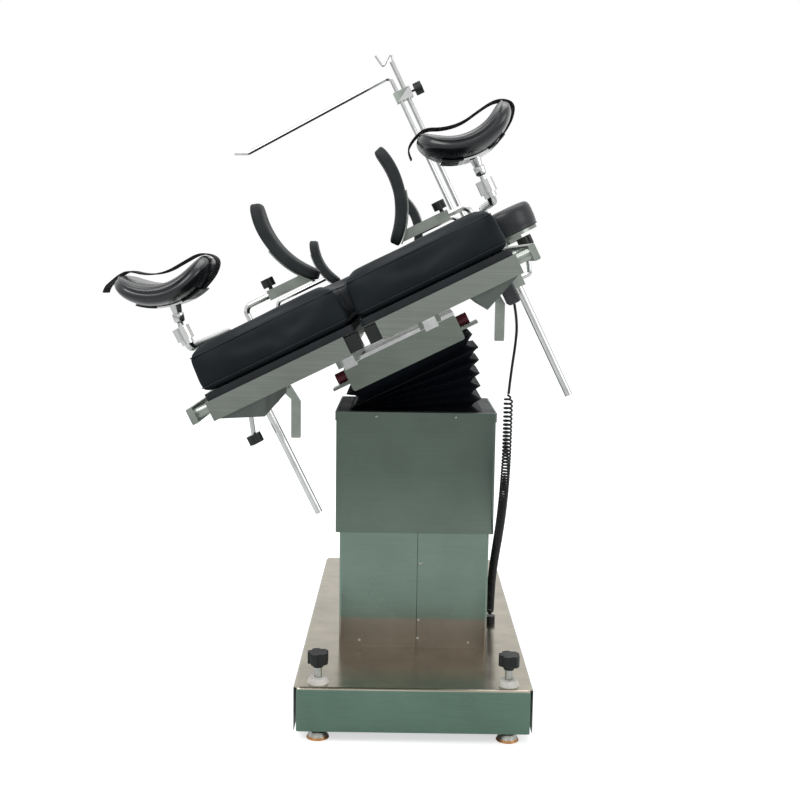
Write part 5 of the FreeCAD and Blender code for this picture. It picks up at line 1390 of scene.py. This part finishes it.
def screws(name, body, distance, front, back, radius, height):
    """The screws of one cover, by their places across and up on its front and its back."""
    heads = []
    for side, places in ((-1, front), (1, back)):
        for x, z in places:
            spot = COLUMN + Vector((x, side * distance, z))
            heads.append(screw_head(spot, Vector((0, side, 0)), radius, height))
    obj = joined(name, heads)
    obj.data.set_sharp_from_angle(angle=math.radians(45))
    finish_piece(obj, body, "cover_steel", "screw")


screws(
    "lower_cover_screws", "base", 0.128,
    [(-0.122, 0.136), (0.127, 0.133), (0.015, 0.318), (0.0125, 0.185), (0.011, 0.142)],
    [(-0.127, 0.133), (0.127, 0.133), (-0.127, 0.35), (0.127, 0.35)],
    0.0030, 0.0014)
screws(
    "upper_cover_screws", "column_head", 0.141,
    [(-0.088, 0.6555), (0.088, 0.6555)], [(-0.088, 0.6555), (0.088, 0.6555)],
    0.0028, 0.0013)


# Floor, world and lamps
def make_floor():
    mesh = bpy.data.meshes.new("Floor")
    size = 12.0
    corners = [(-size, -size, 0), (size, -size, 0), (size, size, 0), (-size, size, 0)]
    mesh.from_pydata(corners, [], [(0, 1, 2, 3)])
    floor = link(bpy.data.objects.new("Floor", mesh))
    shade = Shade("FloorPale", 0.75, 0.0, (0.82, 0.83, 0.82))
    shade.set(Specular_IOR_Level=0.1)
    cloud = shade.noise(3.0)
    tone = shade.ramp(cloud, "Fac", [(0.3, (0.80, 0.81, 0.80)), (0.7, (0.84, 0.85, 0.84))])
    shade.wire(tone, "Color", shade.bsdf, "Base Color")
    path = shade.add("ShaderNodeLightPath")
    glow = shade.add("ShaderNodeEmission")
    glow.inputs["Strength"].default_value = 0.6
    add = shade.add("ShaderNodeAddShader")
    output = next(n for n in shade.tree.nodes if n.type == "OUTPUT_MATERIAL")
    shade.wire(shade.bsdf, "BSDF", add, 0)
    shade.wire(glow, "Emission", add, 1)
    mixed = shade.add("ShaderNodeMixShader")
    shade.wire(path, "Is Camera Ray", mixed, 0)
    shade.wire(shade.bsdf, "BSDF", mixed, 1)
    shade.wire(add, "Shader", mixed, 2)
    shade.wire(mixed, "Shader", output, "Surface")
    mesh.materials.append(shade.material)
    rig.stage(floor)


def make_world():
    world = bpy.data.worlds.new("World")
    world.use_nodes = True
    tree = world.node_tree
    tree.nodes.clear()
    output = tree.nodes.new("ShaderNodeOutputWorld")
    seen = tree.nodes.new("ShaderNodeBackground")
    seen.inputs["Color"].default_value = (1, 1, 1, 1)
    seen.inputs["Strength"].default_value = 1.0
    soft = tree.nodes.new("ShaderNodeBackground")
    soft.inputs["Color"].default_value = (0.96, 0.98, 1.0, 1)
    soft.inputs["Strength"].default_value = 0.62
    path = tree.nodes.new("ShaderNodeLightPath")
    first = tree.nodes.new("ShaderNodeMath")
    first.operation = "MAXIMUM"
    second = tree.nodes.new("ShaderNodeMath")
    second.operation = "MAXIMUM"
    mixed = tree.nodes.new("ShaderNodeMixShader")
    links = tree.links
    links.new(path.outputs["Is Camera Ray"], first.inputs[0])
    links.new(path.outputs["Is Glossy Ray"], first.inputs[1])
    links.new(first.outputs[0], second.inputs[0])
    links.new(path.outputs["Is Transmission Ray"], second.inputs[1])
    links.new(second.outputs[0], mixed.inputs[0])
    links.new(soft.outputs[0], mixed.inputs[1])
    links.new(seen.outputs[0], mixed.inputs[2])
    links.new(mixed.outputs[0], output.inputs["Surface"])
    bpy.context.scene.world = world


def area_lamp(name, spot, target, size, power):
    data = bpy.data.lights.new(name, "AREA")
    data.shape = "RECTANGLE"
    data.size, data.size_y = size
    data.energy = power
    lamp = link(bpy.data.objects.new(name, data))
    lamp.location = spot
    heading = Vector(target) - Vector(spot)
    lamp.rotation_euler = heading.to_track_quat("-Z", "Y").to_euler()


make_floor()
make_world()
area_lamp("KeyLamp", (-1.6, -2.2, 3.2), (0.05, -0.2, 0.8), (2.4, 1.6), 62)
area_lamp("FillLamp", (2.6, -1.6, 2.0), (0.1, -0.2, 0.7), (1.6, 1.6), 20)
area_lamp("TopLamp", (0.2, 0.4, 3.6), (0.05, 0.0, 0.8), (2.6, 2.6), 45)

bpy.context.scene.view_settings.view_transform = "Standard"
size_low, size_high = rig.bounds()
with open("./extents.json", "w") as record:
    json.dump(
        {
            "cad": [list(cad_low), list(cad_high)],
            "visual": [list(size_low), list(size_high)],
        },
        record,
    )
